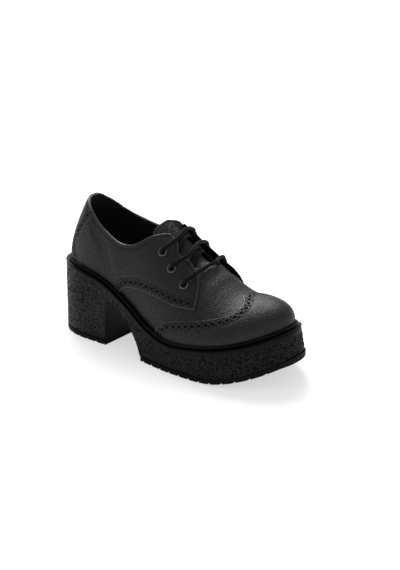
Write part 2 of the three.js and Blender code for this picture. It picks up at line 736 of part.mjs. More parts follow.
// Materials
const leather = new THREE.MeshStandardMaterial({ color: 0x1d1e1d, roughness: 0.48 });
const lining = new THREE.MeshStandardMaterial({ color: 0x101010, roughness: 0.8 });
const rubber = new THREE.MeshStandardMaterial({ color: 0x161616, roughness: 0.75 });
const waxedCord = new THREE.MeshStandardMaterial({ color: 0x131313, roughness: 0.7 });
const blackMetal = new THREE.MeshStandardMaterial({ color: 0x0c0c0c, roughness: 0.35, metalness: 0.6 });

const group = new THREE.Group();
const shoe = new THREE.Group();
group.add(shoe);

function addMesh(name, geometry, material) {
  const mesh = new THREE.Mesh(geometry, material);
  mesh.name = name;
  shoe.add(mesh);
  return mesh;
}

function addSolid(name, solid, material) {
  const { vertProperties, triVerts } = solid.getMesh();
  const geometry = new THREE.BufferGeometry();
  geometry.setAttribute('position', new THREE.BufferAttribute(vertProperties, 3));
  geometry.setIndex(new THREE.BufferAttribute(triVerts, 1));
  geometry.computeVertexNormals();
  return addMesh(name, geometry, material);
}

addSolid('sole_unit', makeSoleUnit(), rubber);
const [heelTread, forefootTread] = makeTreads();
addSolid('heel_tread', heelTread, rubber);
addSolid('forefoot_tread', forefootTread, rubber);
addSolid('welt', makeWelt(), rubber);
addSolid('insole', makeInsole(), lining);
addSolid('upper', makeUpper(), leather);
addSolid('tongue', makeTongue(), leather);
addSolid('toe_cap', makeToeCap(), leather);
addSolid('quarter_outer', makeQuarter(outer), leather);
addSolid('quarter_inner', makeQuarter(inner), leather);
addSolid('heel_counter', makeCounter(), leather);

// Eyelet rings, turned to lie on the facings
const ringProfile = [[eyeletHole, 0], [eyeletRim, 0],
  [eyeletRim - eyeletThickness / 2, eyeletThickness], [eyeletHole, eyeletThickness],
  [eyeletHole, 0]]
  .map(([radius, up]) => corner(radius, up));
eyeletPlaces.forEach((pair, row) => {
  for (const side of [outer, inner]) {
    const { point, normal } = pair[side];
    const name = `eyelet_${side === outer ? 'outer' : 'inner'}_${row + 1}`;
    const ring = addMesh(name, new THREE.LatheGeometry(ringProfile, eyeletSides), blackMetal);
    ring.quaternion.copy(turnedTo(normal));
    ring.position.copy(point).addScaledVector(normal, fitGap);
  }
  addMesh(`lace_bar_${row + 1}`, makeLaceBar(row), waxedCord);
});
eyeletRows.slice(1).forEach((lower, row) => {
  addSolid(`lace_crossing_${row + 1}`, makeLaceCrossing(lower, eyeletRows[row]), waxedCord);
});

// The origin is under the middle of the whole shoe
const box = new THREE.Box3().setFromObject(shoe);
shoe.position.set(-(box.min.x + box.max.x) / 2, -(box.min.y + box.max.y) / 2, -box.min.z);

export default group;
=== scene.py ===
"""Looks of a block heel lace-up shoe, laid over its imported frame."""
import math

import bpy
import numpy as np
from bpy.props import FloatProperty, FloatVectorProperty, PointerProperty
from mathutils import Matrix, Vector, kdtree, noise


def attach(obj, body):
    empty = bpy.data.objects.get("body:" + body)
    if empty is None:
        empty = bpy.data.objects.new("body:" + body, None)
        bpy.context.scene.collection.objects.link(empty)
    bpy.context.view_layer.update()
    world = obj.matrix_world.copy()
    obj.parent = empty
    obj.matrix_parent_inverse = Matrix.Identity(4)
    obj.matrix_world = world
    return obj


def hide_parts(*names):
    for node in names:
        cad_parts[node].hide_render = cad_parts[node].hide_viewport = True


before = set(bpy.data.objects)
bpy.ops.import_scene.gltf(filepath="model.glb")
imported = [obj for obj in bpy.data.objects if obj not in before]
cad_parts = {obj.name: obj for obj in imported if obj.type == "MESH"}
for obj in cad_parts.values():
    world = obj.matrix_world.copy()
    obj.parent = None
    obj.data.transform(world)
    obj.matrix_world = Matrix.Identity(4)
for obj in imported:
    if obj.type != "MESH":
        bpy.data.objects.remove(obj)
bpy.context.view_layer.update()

bl_info = {
    "name": "Block heel shoe",
    "version": (1, 0, 0),
    "blender": (4, 5, 0),
    "location": "3D View > Sidebar > Shoe",
    "description": "Builds the leather, sole, lace and stage of a block heel shoe",
    "category": "Add Mesh",
}

# Sizes of the last in millimetres, as in the solids
LENGTH, BALL, INSTEP = 240.0, 88.0, 99.0
TOE_ROUND, TOE_CROWN_ROUND, SEAT = 52.0, 38.0, 42.0
PLUMP_TOE, PLUMP_CROWN, PLUMP_HEEL = 2.05, 2.2, 2.3
HEEL, PLATFORM, SPRING, SPRING_START = 71.0, 27.0, 16.5, 0.72
TREAD, TREAD_BEVEL, BLOCK_END, SHOULDER = 4.5, 0.9, 62.0, 2.0
LUG_PITCH, LUG_GROOVE, LUG_DEPTH = 11.0, 2.6, 2.0
WALL, OVERLAY, COUNTER, INSOLE, TONGUE = 1.6, 1.0, 1.3, 1.9, 1.6
FLAP = {-1: 0.8, 1: 4.5}
CORD, GAP = 1.7, 0.3
EYELET_HOLE, EYELET_RIM = 2.3, 4.3
FAN, ROWS = 7, 21
TOE_BUNCHING = 0.4
# From the last's axes to the frame's
SHIFT = np.array([-122.11212, 1.99425, 0.0])
# Where the facings start to stand off: shares of the wrap, then of the length
FLAP_WRAP, FLAP_START, FLAP_STOP = (0.36, 0.72), (0.42, 0.60), (0.70, 0.78)

# Leatherwork in millimetres
# The second size is how far from an edge the leather is painted lighter, a painted highlight of
# the rounded edge
RIM_ROUND, RIM_PAINTED_HIGHLIGHT, RIM_CUTS = 1.1, 0.95, (0.12, 0.35, 0.9, 1.3)
SEAM_INSET, SEAM_WIDTH, SEAM_DEPTH, SEAM_MARGIN = 1.5, 0.45, 0.34, 0.4
# Brogue holes: half sizes of an oval, radius of a pinhole and its way from the line
OVAL, PINHOLE, PINHOLE_APART, HOLE_CUTS = (1.95, 1.5), 0.85, 1.8, (0.0, -0.18)
HOLE_PITCH, HOLE_INSET = 3.35, 2.6
TONGUE_SEAM, TONGUE_CUTS = 3.0, (0.12, 0.35, 0.7, 1.2, 2.6, 3.0, 3.4)
TONGUE_GROOVE, TONGUE_RIPPLE = 0.2, 0.25
# Shares of the length between which the tongue lies
TONGUE_SPAN = (0.42, 0.70)
# How far the crepe stands out of the sole, the wall lies in for it, and the smooth rim reaches
CREPE_HEIGHT, CREPE_ROOM, CREPE_TOP = 1.1, 0.25, 3.0


def table(columns, rows):
    """Columns of a short table as arrays."""
    return {name: np.array([row[i] for row in rows]) for i, name in enumerate(columns)}


SECTIONS = table(
    ("at", "outer", "inner", "climb", "lift", "bulge", "crown", "height", "shoulder", "ridge"), [
        (0.000, 0.329, 0.329, 1.000, 0.00, 0.058, 0.105, 0.887, 0.222, 0.000),
        (0.125, 0.337, 0.324, 0.939, 0.00, 0.029, 0.178, 0.933, 0.225, 0.006),
        (0.250, 0.345, 0.320, 0.766, 0.00, 0.026, 0.212, 0.975, 0.232, 0.020),
        (0.375, 0.387, 0.318, 0.443, 0.00, 0.031, 0.245, 0.965, 0.218, 0.036),
        (0.500, 0.468, 0.362, 0.112, 0.00, 0.034, 0.320, 0.860, 0.181, 0.050),
        (0.600, 0.520, 0.429, -0.01, 0.00, 0.036, 0.340, 0.708, 0.161, 0.052),
        (0.700, 0.532, 0.467, 0.000, 0.09, 0.035, 0.325, 0.540, 0.137, 0.044),
        (0.800, 0.510, 0.472, 0.000, 0.36, 0.045, 0.314, 0.372, 0.133, 0.032),
        (0.900, 0.452, 0.441, 0.000, 0.76, 0.054, 0.308, 0.307, 0.130, 0.021),
        (1.000, 0.391, 0.399, 0.000, 1.36, 0.052, 0.282, 0.280, 0.127, 0.010),
    ])
MARGINS = table(("at", "shoulder", "foot"), [
    (0.00, 0.083, 0.089), (0.35, 0.068, 0.095), (0.70, 0.066, 0.070), (1.00, 0.083, 0.137)])
ARCH = [(0.272, 0.630), (0.300, 0.600), (0.333, 0.550), (0.367, 0.478), (0.400, 0.372),
        (0.430, 0.262), (0.452, 0.145), (0.468, 0.020)]
COLLAR = {
    -1: [(-0.06, 0.648), (0.07, 0.648), (0.086, 0.643), (0.10, 0.638), (0.14, 0.585),
         (0.195, 0.498), (0.25, 0.459), (0.30, 0.459), (0.343, 0.506), (0.38, 0.575),
         (0.428, 0.707), (0.455, 0.767), (0.486, 0.812), (0.512, 0.808), (0.53, 0.775),
         (0.55, 0.700)],
    1: [(-0.06, 0.648), (0.07, 0.648), (0.086, 0.638), (0.094, 0.606), (0.102, 0.582),
        (0.14, 0.523), (0.19, 0.497), (0.25, 0.504), (0.32, 0.548), (0.38, 0.620),
        (0.43, 0.720), (0.46, 0.785), (0.49, 0.828), (0.515, 0.822), (0.535, 0.785),
        (0.555, 0.700)],
}
COUNTER_EDGE = [(0.120, -0.060), (0.106, 0.029), (0.081, 0.096), (0.073, 0.165), (0.087, 0.249),
                (0.116, 0.368), (0.140, 0.466), (0.152, 0.530), (0.160, 0.640)]
QUARTER_EDGE = [(0.305, -0.060), (0.320, 0.000), (0.343, 0.093), (0.379, 0.169), (0.428, 0.243),
                (0.476, 0.296), (0.528, 0.324), (0.575, 0.328), (0.620, 0.324), (0.684, 0.310),
                (0.740, 0.298)]
WING_EDGE = [(0.495, -0.060), (0.518, 0.005), (0.545, 0.090), (0.575, 0.165), (0.615, 0.205),
             (0.692, 0.226), (0.742, 0.233), (0.786, 0.240), (0.825, 0.255), (0.845, 0.280),
             (0.840, 0.315), (0.813, 0.352)]
FACING = {
    -1: [(0.40, -0.155), (0.50, -0.158), (0.528, -0.164), (0.570, -0.174), (0.633, -0.222),
         (0.661, -0.278), (0.672, -0.321), (0.684, -0.389), (0.688, -0.446), (0.692, -0.600)],
    1: [(0.40, 0.150), (0.50, 0.165), (0.543, 0.200), (0.60, 0.217), (0.65, 0.222),
        (0.674, 0.232), (0.688, 0.260), (0.700, 0.300), (0.708, 0.350), (0.713, 0.446),
        (0.718, 0.600)],
}
THROAT = [(0.40, 0.225), (0.575, 0.232), (0.605, 0.222), (0.6225, 0.190), (0.6315, 0.138),
          (0.637, 0.070), (0.640, 0.000)]
TONGUE_EDGE = {
    -1: [(0.456, 0.000), (0.450, 0.110), (0.432, 0.252), (0.450, 0.272), (0.575, 0.250),
         (0.640, 0.205), (0.660, 0.130), (0.665, 0.000)],
    1: [(0.456, 0.000), (0.452, 0.130), (0.462, 0.165), (0.490, 0.175), (0.575, 0.190),
        (0.640, 0.200), (0.660, 0.130), (0.665, 0.000)],
}
TONGUE_FLARE = {-1: 4.0, 1: 11.0}
EYELETS = [(0.498, 0.294, 0.500, 0.290), (0.550, 0.334, 0.556, 0.335),
           (0.615, 0.362, 0.622, 0.350)]
BAR_EDGES = [(0.520, 0.160, 0.514, 0.499, 0.158), (0.579, 0.174, 0.568, 0.545, 0.194),
             (0.640, 0.226, 0.655, 0.622, 0.195)]
LACE_RISE = {-1: [(0, -0.3), (0, 0.9), (0.1, 1.7), (1, 2.2), (2.4, 1.9)],
             1: [(0, -0.3), (0.1, 0.5), (0.6, 1.0), (1.3, 1.1), (2.4, 1.1)]}
# How far a strand bows out from the middle of its pair, in millimetres
STRANDS_APART = 2
# Cord radii over the facing, and the shares of the way from eyelet to edge
BAR_OVER, BAR_SHARES = {-1: 1.0, 1: 0.1}, {-1: (1.0,), 1: (0.6, 0.8, 1.0)}


# The last

def read(rows, name, at):
    """Smooth curve through a table's column."""
    ats, values = rows["at"], rows[name]
    gaps = np.diff(ats)
    slopes = np.diff(values) / gaps
    lean = np.empty_like(values)
    lean[0], lean[-1] = slopes[0], slopes[-1]
    lean[1:-1] = (slopes[:-1] * gaps[1:] + slopes[1:] * gaps[:-1]) / (gaps[:-1] + gaps[1:])
    i = np.clip(np.searchsorted(ats, at, side="right") - 1, 0, len(ats) - 2)
    t = np.clip((at - ats[i]) / gaps[i], 0, 1)
    rise = t * t * (3 - 2 * t)
    return (values[i] * (1 - rise) + values[i + 1] * rise
            + t * (1 - t) * gaps[i] * ((1 - t) * lean[i] - t * lean[i + 1]))


def smooth(low, high, x):
    """Soft step from 0 at low to 1 at high."""
    t = np.clip((x - low) / (high - low), 0, 1)
    return t * t * (3 - 2 * t)


def toe_share(from_tip, length, plump):
    """Share that a section keeps at a distance from the tip of the toe."""
    depth = np.clip((length - from_tip) / length, 0, 1)
    return (1 - depth ** plump) ** (1 / plump)


def feather_height(x):
    """Height of the feather edge over the floor."""
    at = x / LENGTH
    return (PLATFORM + (HEEL - PLATFORM) * read(SECTIONS, "climb", at)
            + SPRING * read(SECTIONS, "lift", at))


def ground_height(x):
    """Underside of the tread over the floor."""
    past = np.maximum(0, x / LENGTH - SPRING_START) / (1 - SPRING_START)
    return SPRING * past ** 2


def ridge_at(x):
    """Sideways place of the ridge."""
    return BALL * read(SECTIONS, "ridge", x / LENGTH)


def section_place(row, side):
    """Where each section stands and how far it reaches."""
    row, side = np.broadcast_arrays(np.asarray(row, float), np.asarray(side, float))

    def width(at):
        return BALL * np.where(side < 0, read(SECTIONS, "outer", at), read(SECTIONS, "inner", at))

    angle = np.pi * (1 - 0.5 * np.minimum(row, FAN) / FAN)
    along, across = np.abs(np.cos(angle)), np.sin(angle)
    half = width(np.full(row.shape, SEAT / LENGTH))
    fan_reach = ((along / SEAT) ** PLUMP_HEEL + (across / half) ** PLUMP_HEEL) ** (-1 / PLUMP_HEEL)
    v = np.clip((row - FAN) / ROWS, 0, 1)
    spread = (1 - TOE_BUNCHING) * np.sin(v * np.pi / 2) + TOE_BUNCHING * (1 - (1 - v) ** 2)
    x = SEAT + (LENGTH - SEAT) * spread
    narrow = toe_share(LENGTH - x, TOE_ROUND, PLUMP_TOE)
    low = toe_share(LENGTH - x, TOE_CROWN_ROUND, PLUMP_CROWN)
    fan = row < FAN
    return {
        "x": np.where(fan, SEAT - fan_reach * along, x),
        "axis": np.where(fan, SEAT, x),
        "reach": np.where(fan, fan_reach, width(x / LENGTH) * narrow),
        "along": np.where(fan, -along, 0),
        "across": np.where(fan, across, 1),
        "at": np.where(fan, SEAT / LENGTH * (1 - along ** 2), x / LENGTH),
        "narrow": np.where(fan, 1, narrow),
        "low": np.where(fan, 1, low),
    }


def last_point(row, wrap, side):
    """Points of the last: wrap 0 is the feather edge, 1 the ridge."""
    place = section_place(row, side)
    at, narrow = place["at"], place["narrow"]
    bulge = BALL * read(SECTIONS, "bulge", at) * narrow
    crown = BALL * read(SECTIONS, "crown", at) * narrow
    ridge = BALL * read(SECTIONS, "ridge", at) * narrow
    height = INSTEP * read(SECTIONS, "height", at) * place["low"]
    shoulder = INSTEP * read(SECTIONS, "shoulder", at) * place["low"]
    left = 1 - wrap
    reach = (place["reach"] * left ** 3 + 3 * wrap * left ** 2 * (place["reach"] + bulge)
             + 3 * wrap ** 2 * left * crown)
    z = (feather_height(place["x"]) + 3 * wrap * left ** 2 * shoulder
         + height * (3 * wrap ** 2 * left + wrap ** 3))
    x = place["axis"] + reach * place["along"]
    y = side * reach * place["across"] + ridge * wrap ** 1.5 * place["across"]
    return np.stack(np.broadcast_arrays(x, y, z), axis=-1)


def flap_lift(at, wrap, side):
    """How far the facings stand off the upper."""
    lift = np.where(side < 0, FLAP[-1], FLAP[1])
    return (lift * smooth(*FLAP_WRAP, wrap) * smooth(*FLAP_START, at)
            * (1 - smooth(*FLAP_STOP, at)))


def quarter_top(at, wrap, side):
    """Height of the facings' face over the last."""
    return GAP + OVERLAY + flap_lift(at, wrap, side)


def tongue_top(at, wrap, side):
    """Height of the tongue's face over the last."""
    low = -WALL - 2 * CORD - 4 * GAP
    flare = np.where(side < 0, TONGUE_FLARE[-1], TONGUE_FLARE[1])
    return (low + (-WALL - GAP - low) * smooth(0.614, 0.645, at)
            + flare * (1 - smooth(0.455, 0.492, at)) * (1 - smooth(0.66, 0.93, wrap)))


def unit(v):
    """Vectors at length one."""
    return v / np.maximum(np.linalg.norm(v, axis=-1, keepdims=True), 1e-12)


def over_last(row, wrap, side, offset):
    """Point over the last at a row and wrap."""
    here = last_point(row, wrap, side)
    ahead = last_point(row + 0.01, wrap, side) - here
    up = last_point(row, wrap + 0.01, side) - here
    out = unit(-side * np.cross(ahead, up))
    lift = offset(here[0] / LENGTH, wrap, side) if callable(offset) else offset
    return here + out * lift


def bisect(low, high, test):
    """Place where a rising test turns true."""
    for _ in range(40):
        middle = (low + high) / 2
        if test(middle):
            high = middle
        else:
            low = middle
    return low


def on_upper(at, across, offset):
    """Point and outward normal over the last, across millimetres from the ridge."""
    side = -1 if across < 0 else 1
    x = at * LENGTH
    row = bisect(FAN, FAN + ROWS, lambda r: section_place(r, side)["x"] > x)
    wrap = bisect(0.3, 0.985,
                  lambda w: abs(last_point(row, w, side)[1] - ridge_at(x)) < abs(across))
    point = over_last(row, wrap, side, offset)
    ahead = over_last(row + 0.02, wrap, side, offset) - point
    up = over_last(row, wrap + 0.01, side, offset) - point
    return point, unit(-side * np.cross(ahead, up))


def eyelet_seat(row, side):
    """Top of an eyelet's seat, its normal, and the way to the ridge."""
    at, across = (EYELETS[row][0], -EYELETS[row][1]) if side < 0 else EYELETS[row][2:]
    point, normal = on_upper(at, across * BALL, quarter_top)
    inward = np.array([0.0, -np.sign(across), 0.0])
    return point, normal, unit(inward - normal * (inward @ normal))


# Curves

def spline(knots, steps):
    """Smooth line through knots."""
    knots = np.asarray(knots, float)
    last = len(knots) - 1
    place = np.linspace(0, last, steps * last + 1)
    i = np.minimum(place.astype(int), last)
    t = (place - i)[:, None]
    a, b = knots[np.maximum(i - 1, 0)], knots[i]
    a = np.where((i == 0)[:, None], knots[i], a)
    c, d = knots[np.minimum(i + 1, last)], knots[np.minimum(i + 2, last)]
    v, w = (c - a) / 2, (d - b) / 2
    return ((2 * b - 2 * c + v + w) * t ** 3 + (-3 * b + 3 * c - 2 * v - w) * t ** 2 + v * t + b)


def side_curve(rows, steps=10):
    """An edge table seen from the side, as x and z."""
    return spline([(at * LENGTH, feather_height(at * LENGTH) + high * INSTEP)
                   for at, high in rows], steps)


def plan_curve(rows, sign=1, steps=10):
    """An edge table seen from above, as x and y."""
    return spline([(at * LENGTH, ridge_at(at * LENGTH) + sign * across * BALL)
                   for at, across in rows], steps)


def inside(points, outline):
    """Distance to an outline's edge, positive within it."""
    a = np.asarray(outline, float)
    b = np.roll(a, -1, axis=0)
    nearest = np.full(len(points), 1e9)
    crossings = np.zeros(len(points), int)
    for (ax, ay), (bx, by) in zip(a, b):
        ex, ey = bx - ax, by - ay
        size = ex * ex + ey * ey
        if size < 1e-12:
            continue
        px, py = points[:, 0] - ax, points[:, 1] - ay
        t = np.clip((px * ex + py * ey) / size, 0, 1)
        nearest = np.minimum(nearest, (px - t * ex) ** 2 + (py - t * ey) ** 2)
        if ay != by:
            straddles = (ay > points[:, 1]) != (by > points[:, 1])
            crossings += straddles & (px < ex * py / ey)
    return np.where(crossings % 2, 1, -1) * np.sqrt(nearest)


FAR = 1.5 * LENGTH
MIDDLE = float(ridge_at(0.45 * LENGTH))
SIDE_VIEW, PLAN_VIEW = [0, 2], [0, 1]


def collar_outline(side):
    """What the collar cuts away, seen from the side."""
    line = side_curve(COLLAR[side])
    end = line[-1]
    return np.vstack([line, [(end[0] + INSTEP / 4, end[1] - INSTEP / 8),
                             (end[0] + INSTEP / 4, FAR), (line[0][0], FAR)]])


def under_collar(p):
    """Panel edge along the collar."""
    outer, inner = (-inside(p[:, SIDE_VIEW], collar_outline(side)) for side in (-1, 1))
    return np.where(p[:, 1] < MIDDLE, outer, inner)


def out_of(outline, view):
    """Panel edge round a gap."""
    return lambda p: -inside(p[:, view], outline)


def within(outline, view=SIDE_VIEW):
    """Panel edge round a piece."""
    return lambda p: inside(p[:, view], outline)


COUNTER_LINE = side_curve(COUNTER_EDGE)
FACING_GAP = np.vstack([plan_curve(FACING[-1]), [(FAR, -BALL), (FAR, BALL)],
                        plan_curve(FACING[1])[::-1]])
THROAT_GAP = np.vstack([plan_curve(THROAT, -1), plan_curve(THROAT, 1)[::-1][1:]])
TONGUE_PLAN = np.vstack([plan_curve(TONGUE_EDGE[-1], -1),
                         plan_curve(TONGUE_EDGE[1], 1)[::-1][1:-1]])


# What the steps share: node groups, materials and the fine sheet of the last
GROUPS, MATERIALS, SHEETS = {}, {}, {}


# Sheets: rows of place, normal, wrap, a lock and further fields, with triangles

PLACE, NORMAL, WRAP, LOCK, FIELDS = slice(0, 3), slice(3, 6), 6, 7, 8


def vertex_normals(points, faces):
    """Normals at the points of a triangle mesh."""
    a, b, c = (points[faces[:, k]] for k in range(3))
    face = np.cross(b - a, c - a)
    total = np.zeros_like(points)
    for k in range(3):
        np.add.at(total, faces[:, k], face)
    return unit(total)


def grid_faces(rows, columns):
    """Triangles of a grid of points."""
    i, j = np.meshgrid(np.arange(rows - 1), np.arange(columns - 1), indexing="ij")
    a = (i * columns + j).ravel()
    b, c, d = a + columns, a + columns + 1, a + 1
    return np.vstack([np.stack([a, b, c], 1), np.stack([a, c, d], 1)])


def welded(points, faces):
    """Points at one place made into one."""
    _, first, index = np.unique(np.round(points * 1e3).astype(np.int64), axis=0,
                                return_index=True, return_inverse=True)
    faces = index.ravel()[faces]
    solid = ((faces[:, 0] != faces[:, 1]) & (faces[:, 1] != faces[:, 2])
             & (faces[:, 0] != faces[:, 2]))
    return points[first], faces[solid], first


def fine_rows(fan, length):
    """Rows round the heel and along the foot."""
    return np.concatenate([np.linspace(0, FAN, fan + 1),
                           FAN + ROWS * np.linspace(0, 1, length + 1)[1:]])


def last_sheet(fan=44, length=170, steps=76):
    """The whole last as one sheet."""
    rows = fine_rows(fan, length)
    loop = np.concatenate([-rows[::-1], rows[1:]])
    wraps = np.linspace(0, 1, steps + 1)
    u, w = np.meshgrid(loop, wraps, indexing="ij")
    points = last_point(np.abs(u), w, np.where(u < 0, -1, 1)).reshape(-1, 3)
    points, faces, first = welded(points, grid_faces(len(loop), len(wraps)))
    normals = vertex_normals(points, faces)
    if (normals * (points - points.mean(0))).sum() < 0:
        faces, normals = faces[:, ::-1], -normals
    return np.column_stack([points, normals, w.ravel()[first], np.zeros(len(points))]), faces


def keyed_edges(faces):
    """Every triangle's edges, each with a key for its pair of rows, and the keys' base."""
    pairs = np.concatenate([faces[:, [0, 1]], faces[:, [1, 2]], faces[:, [2, 0]]])
    count = int(faces.max()) + 1
    return pairs, pairs.min(1).astype(np.int64) * count + pairs.max(1), count


def edges_of(faces):
    """Edges, and each triangle's three edges."""
    _, keys, count = keyed_edges(faces)
    keys, index = np.unique(keys, return_inverse=True)
    return np.stack([keys // count, keys % count], 1), index.reshape(3, -1).T


def between(sheet, ends, share):
    """Rows part of the way along edges, rounded as the surface is."""
    a, b, t = sheet[ends[:, 0]], sheet[ends[:, 1]], share[:, None]
    new = a * (1 - t) + b * t
    flat = new[:, PLACE].copy()
    on_a = flat - ((flat - a[:, PLACE]) * a[:, NORMAL]).sum(1, keepdims=True) * a[:, NORMAL]
    on_b = flat - ((flat - b[:, PLACE]) * b[:, NORMAL]).sum(1, keepdims=True) * b[:, NORMAL]
    new[:, PLACE] = 0.25 * flat + 0.75 * (on_a * (1 - t) + on_b * t)
    new[:, NORMAL] = unit(new[:, NORMAL])
    new[:, LOCK] = 0
    return new


def split(sheet, faces, ends, face_edges, chosen, share):
    """Chosen edges cut in two, with their triangles."""
    ids = np.full(len(ends), -1)
    ids[chosen] = len(sheet) + np.arange(chosen.sum())
    sheet = np.vstack([sheet, between(sheet, ends[chosen], share[chosen])])
    new = ids[face_edges]
    count = (new >= 0).sum(1)
    parts = [faces[count == 0]]
    for turn in range(3):
        f, n = np.roll(faces, -turn, axis=1), np.roll(new, -turn, axis=1)
        one = (count == 1) & (n[:, 0] >= 0)
        (a, b, c), m = f[one].T, n[one, 0]
        parts += [np.stack([a, m, c], 1), np.stack([m, b, c], 1)]
        two = (count == 2) & (n[:, 2] < 0)
        (a, b, c), (p, q) = f[two].T, n[two, :2].T
        parts += [np.stack([p, b, q], 1), np.stack([a, p, q], 1), np.stack([a, q, c], 1)]
    (a, b, c), (p, q, r) = faces[count == 3].T, new[count == 3].T
    parts += [np.stack(t, 1) for t in ((a, p, r), (p, b, q), (r, q, c), (p, q, r))]
    return sheet, np.vstack(parts)


def cut(sheet, faces, field, level=0.0, settle=False):
    """A line of points where a field has a level."""
    ends, face_edges = edges_of(faces)
    a, b = (sheet[ends[:, k], field] - level for k in (0, 1))
    if settle:
        sheet = sheet.copy()
        crossing = a * b < 0
        share = np.where(crossing, a / np.where(crossing, a - b, 1), 0.5)
        for near, mine, ours in ((share < 0.18, 0, share), (share > 0.82, 1, share)):
            pick = crossing & near & (sheet[ends[:, mine], LOCK] == 0)
            moved = between(sheet, ends[pick], ours[pick])
            sheet[ends[pick, mine]] = moved
            sheet[ends[pick, mine], field] = level
            sheet[ends[pick, mine], LOCK] = 1
        a, b = (sheet[ends[:, k], field] - level for k in (0, 1))
    crossing = a * b < 0
    share = np.where(crossing, a / np.where(crossing, a - b, 1), 0.0)
    first = len(sheet)
    sheet, faces = split(sheet, faces, ends, face_edges, crossing, share)
    sheet[first:, field] = level
    if settle:
        sheet[first:, LOCK] = 1
    return sheet, faces


def tidy(sheet, faces):
    """Only the rows that a triangle uses."""
    used, index = np.unique(faces, return_inverse=True)
    return sheet[used], index.reshape(faces.shape)


def score(sheet, faces, field, levels):
    """Lines of points where a field has one of the levels."""
    for level in levels:
        sheet, faces = cut(sheet, faces, field, level)
    return sheet, faces


def trim(sheet, faces, values):
    """The part of a sheet where values are positive, with the values as a last field."""
    sheet = np.column_stack([sheet, values])
    field = sheet.shape[1] - 1
    sheet, faces = cut(sheet, faces, field, settle=True)
    return tidy(sheet, faces[sheet[faces, field].mean(1) > 0])


def rim_edges(faces):
    """Edges with one triangle, in its turning direction."""
    pairs, keys, _ = keyed_edges(faces)
    _, index, total = np.unique(keys, return_inverse=True, return_counts=True)
    return pairs[total[index.ravel()] == 1]


def distance_to(sheet, edges):
    """Distance of every row to a line of edges."""
    if len(edges) == 0:
        return np.full(len(sheet), FAR)
    a, b = sheet[edges[:, 0], PLACE], sheet[edges[:, 1], PLACE]
    parts = []
    for start, stop in zip(a, b):
        steps = max(1, int(np.linalg.norm(stop - start) / 0.12))
        parts.append(start + (stop - start) * (np.arange(steps) / steps)[:, None])
    parts.append(b)
    return nearest_of(sheet[:, PLACE], np.vstack(parts))[0]


def cut_panel(sheet, faces, edges):
    """A panel within its edges; adds the distance to each edge and to all as fields."""
    for edge in edges:
        sheet, faces = trim(sheet, faces, edge(sheet[:, PLACE]))
    rim = rim_edges(faces)
    distances = []
    for field in range(FIELDS, sheet.shape[1]):
        on = (np.abs(sheet[rim, field]) < 1e-6).all(1)
        distances.append(distance_to(sheet, rim[on]))
    sheet = np.column_stack([sheet[:, :FIELDS]] + distances + [np.min(distances, axis=0)])
    return sheet, faces


def lines_at(sheet, faces, field, level):
    """Chains of rows along a level of a field."""
    ends, _ = edges_of(faces)
    on = np.abs(sheet[:, field] - level) < 1e-7
    ends = ends[on[ends].all(1)]
    links = {}
    for a, b in ends:
        links.setdefault(a, []).append(b)
        links.setdefault(b, []).append(a)
    chains, seen = [], set()
    for start in sorted(links, key=lambda k: (len(links[k]) != 1, k)):
        if start in seen:
            continue
        chain, at = [start], start
        seen.add(start)
        while True:
            ahead = [k for k in links[at] if k not in seen]
            if not ahead:
                break
            at = ahead[0]
            seen.add(at)
            chain.append(at)
        if len(chain) > 4:
            chains.append(sheet[chain, :6])
    return chains


def lengths(line):
    """Distance along a line at each of its points."""
    steps = np.linalg.norm(np.diff(line[:, :3], axis=0), axis=1)
    return np.concatenate([[0], np.cumsum(steps)])


def sampled(line, along, places):
    """A line's columns at places along it."""
    return np.stack([np.interp(places, along, column) for column in line.T], 1)


def stations(chain, pitch, inset):
    """Even places along a chain, with its normal and direction."""
    along = lengths(chain)
    room = along[-1] - 2 * inset
    if room < pitch:
        return np.empty((0, 9))
    count = max(1, int(round(room / pitch)))
    places = inset + room * (np.arange(count) + 0.5) / count
    at, line = sampled(chain, along, places), chain[:, :3]
    ahead = sampled(line, along, places + 0.6) - sampled(line, along, places - 0.6)
    return np.column_stack([at[:, :3], unit(at[:, 3:]), unit(ahead)])


def refine(sheet, faces, centres, reach, size):
    """Smaller triangles near the centres, in two rounds."""
    for _ in range(2):
        near = nearest_of(sheet[:, PLACE], centres)[0] < reach
        ends, face_edges = edges_of(faces)
        long = np.linalg.norm(sheet[ends[:, 0], PLACE] - sheet[ends[:, 1], PLACE], axis=1) > size
        chosen = long & near[ends].any(1)
        sheet, faces = split(sheet, faces, ends, face_edges, chosen, np.full(len(ends), 0.5))
    return sheet, faces


def nearest_of(points, centres):
    """Distance to the nearest centre, and which it is."""
    tree = kdtree.KDTree(len(centres))
    for i, p in enumerate(centres):
        tree.insert(p, i)
    tree.balance()
    found = [tree.find(p) for p in points]
    return np.array([f[2] for f in found]), np.array([f[1] for f in found])


def hole_depth_field(sheet, holes):
    """Distance out of the nearest hole; holes hold place, normal, direction and two radii."""
    _, index = nearest_of(sheet[:, PLACE], holes[:, :3])
    own = holes[index]
    delta = sheet[:, PLACE] - own[:, :3]
    across = np.cross(own[:, 3:6], own[:, 6:9])
    a = (delta * own[:, 6:9]).sum(1) / own[:, 9]
    b = (delta * across).sum(1) / own[:, 10]
    return (np.sqrt(a * a + b * b) - 1) * np.minimum(own[:, 9], own[:, 10])


# Meshes

def to_frame(points):
    """Millimetres over the last to metres in the frame."""
    return (np.asarray(points) + SHIFT) * 0.001


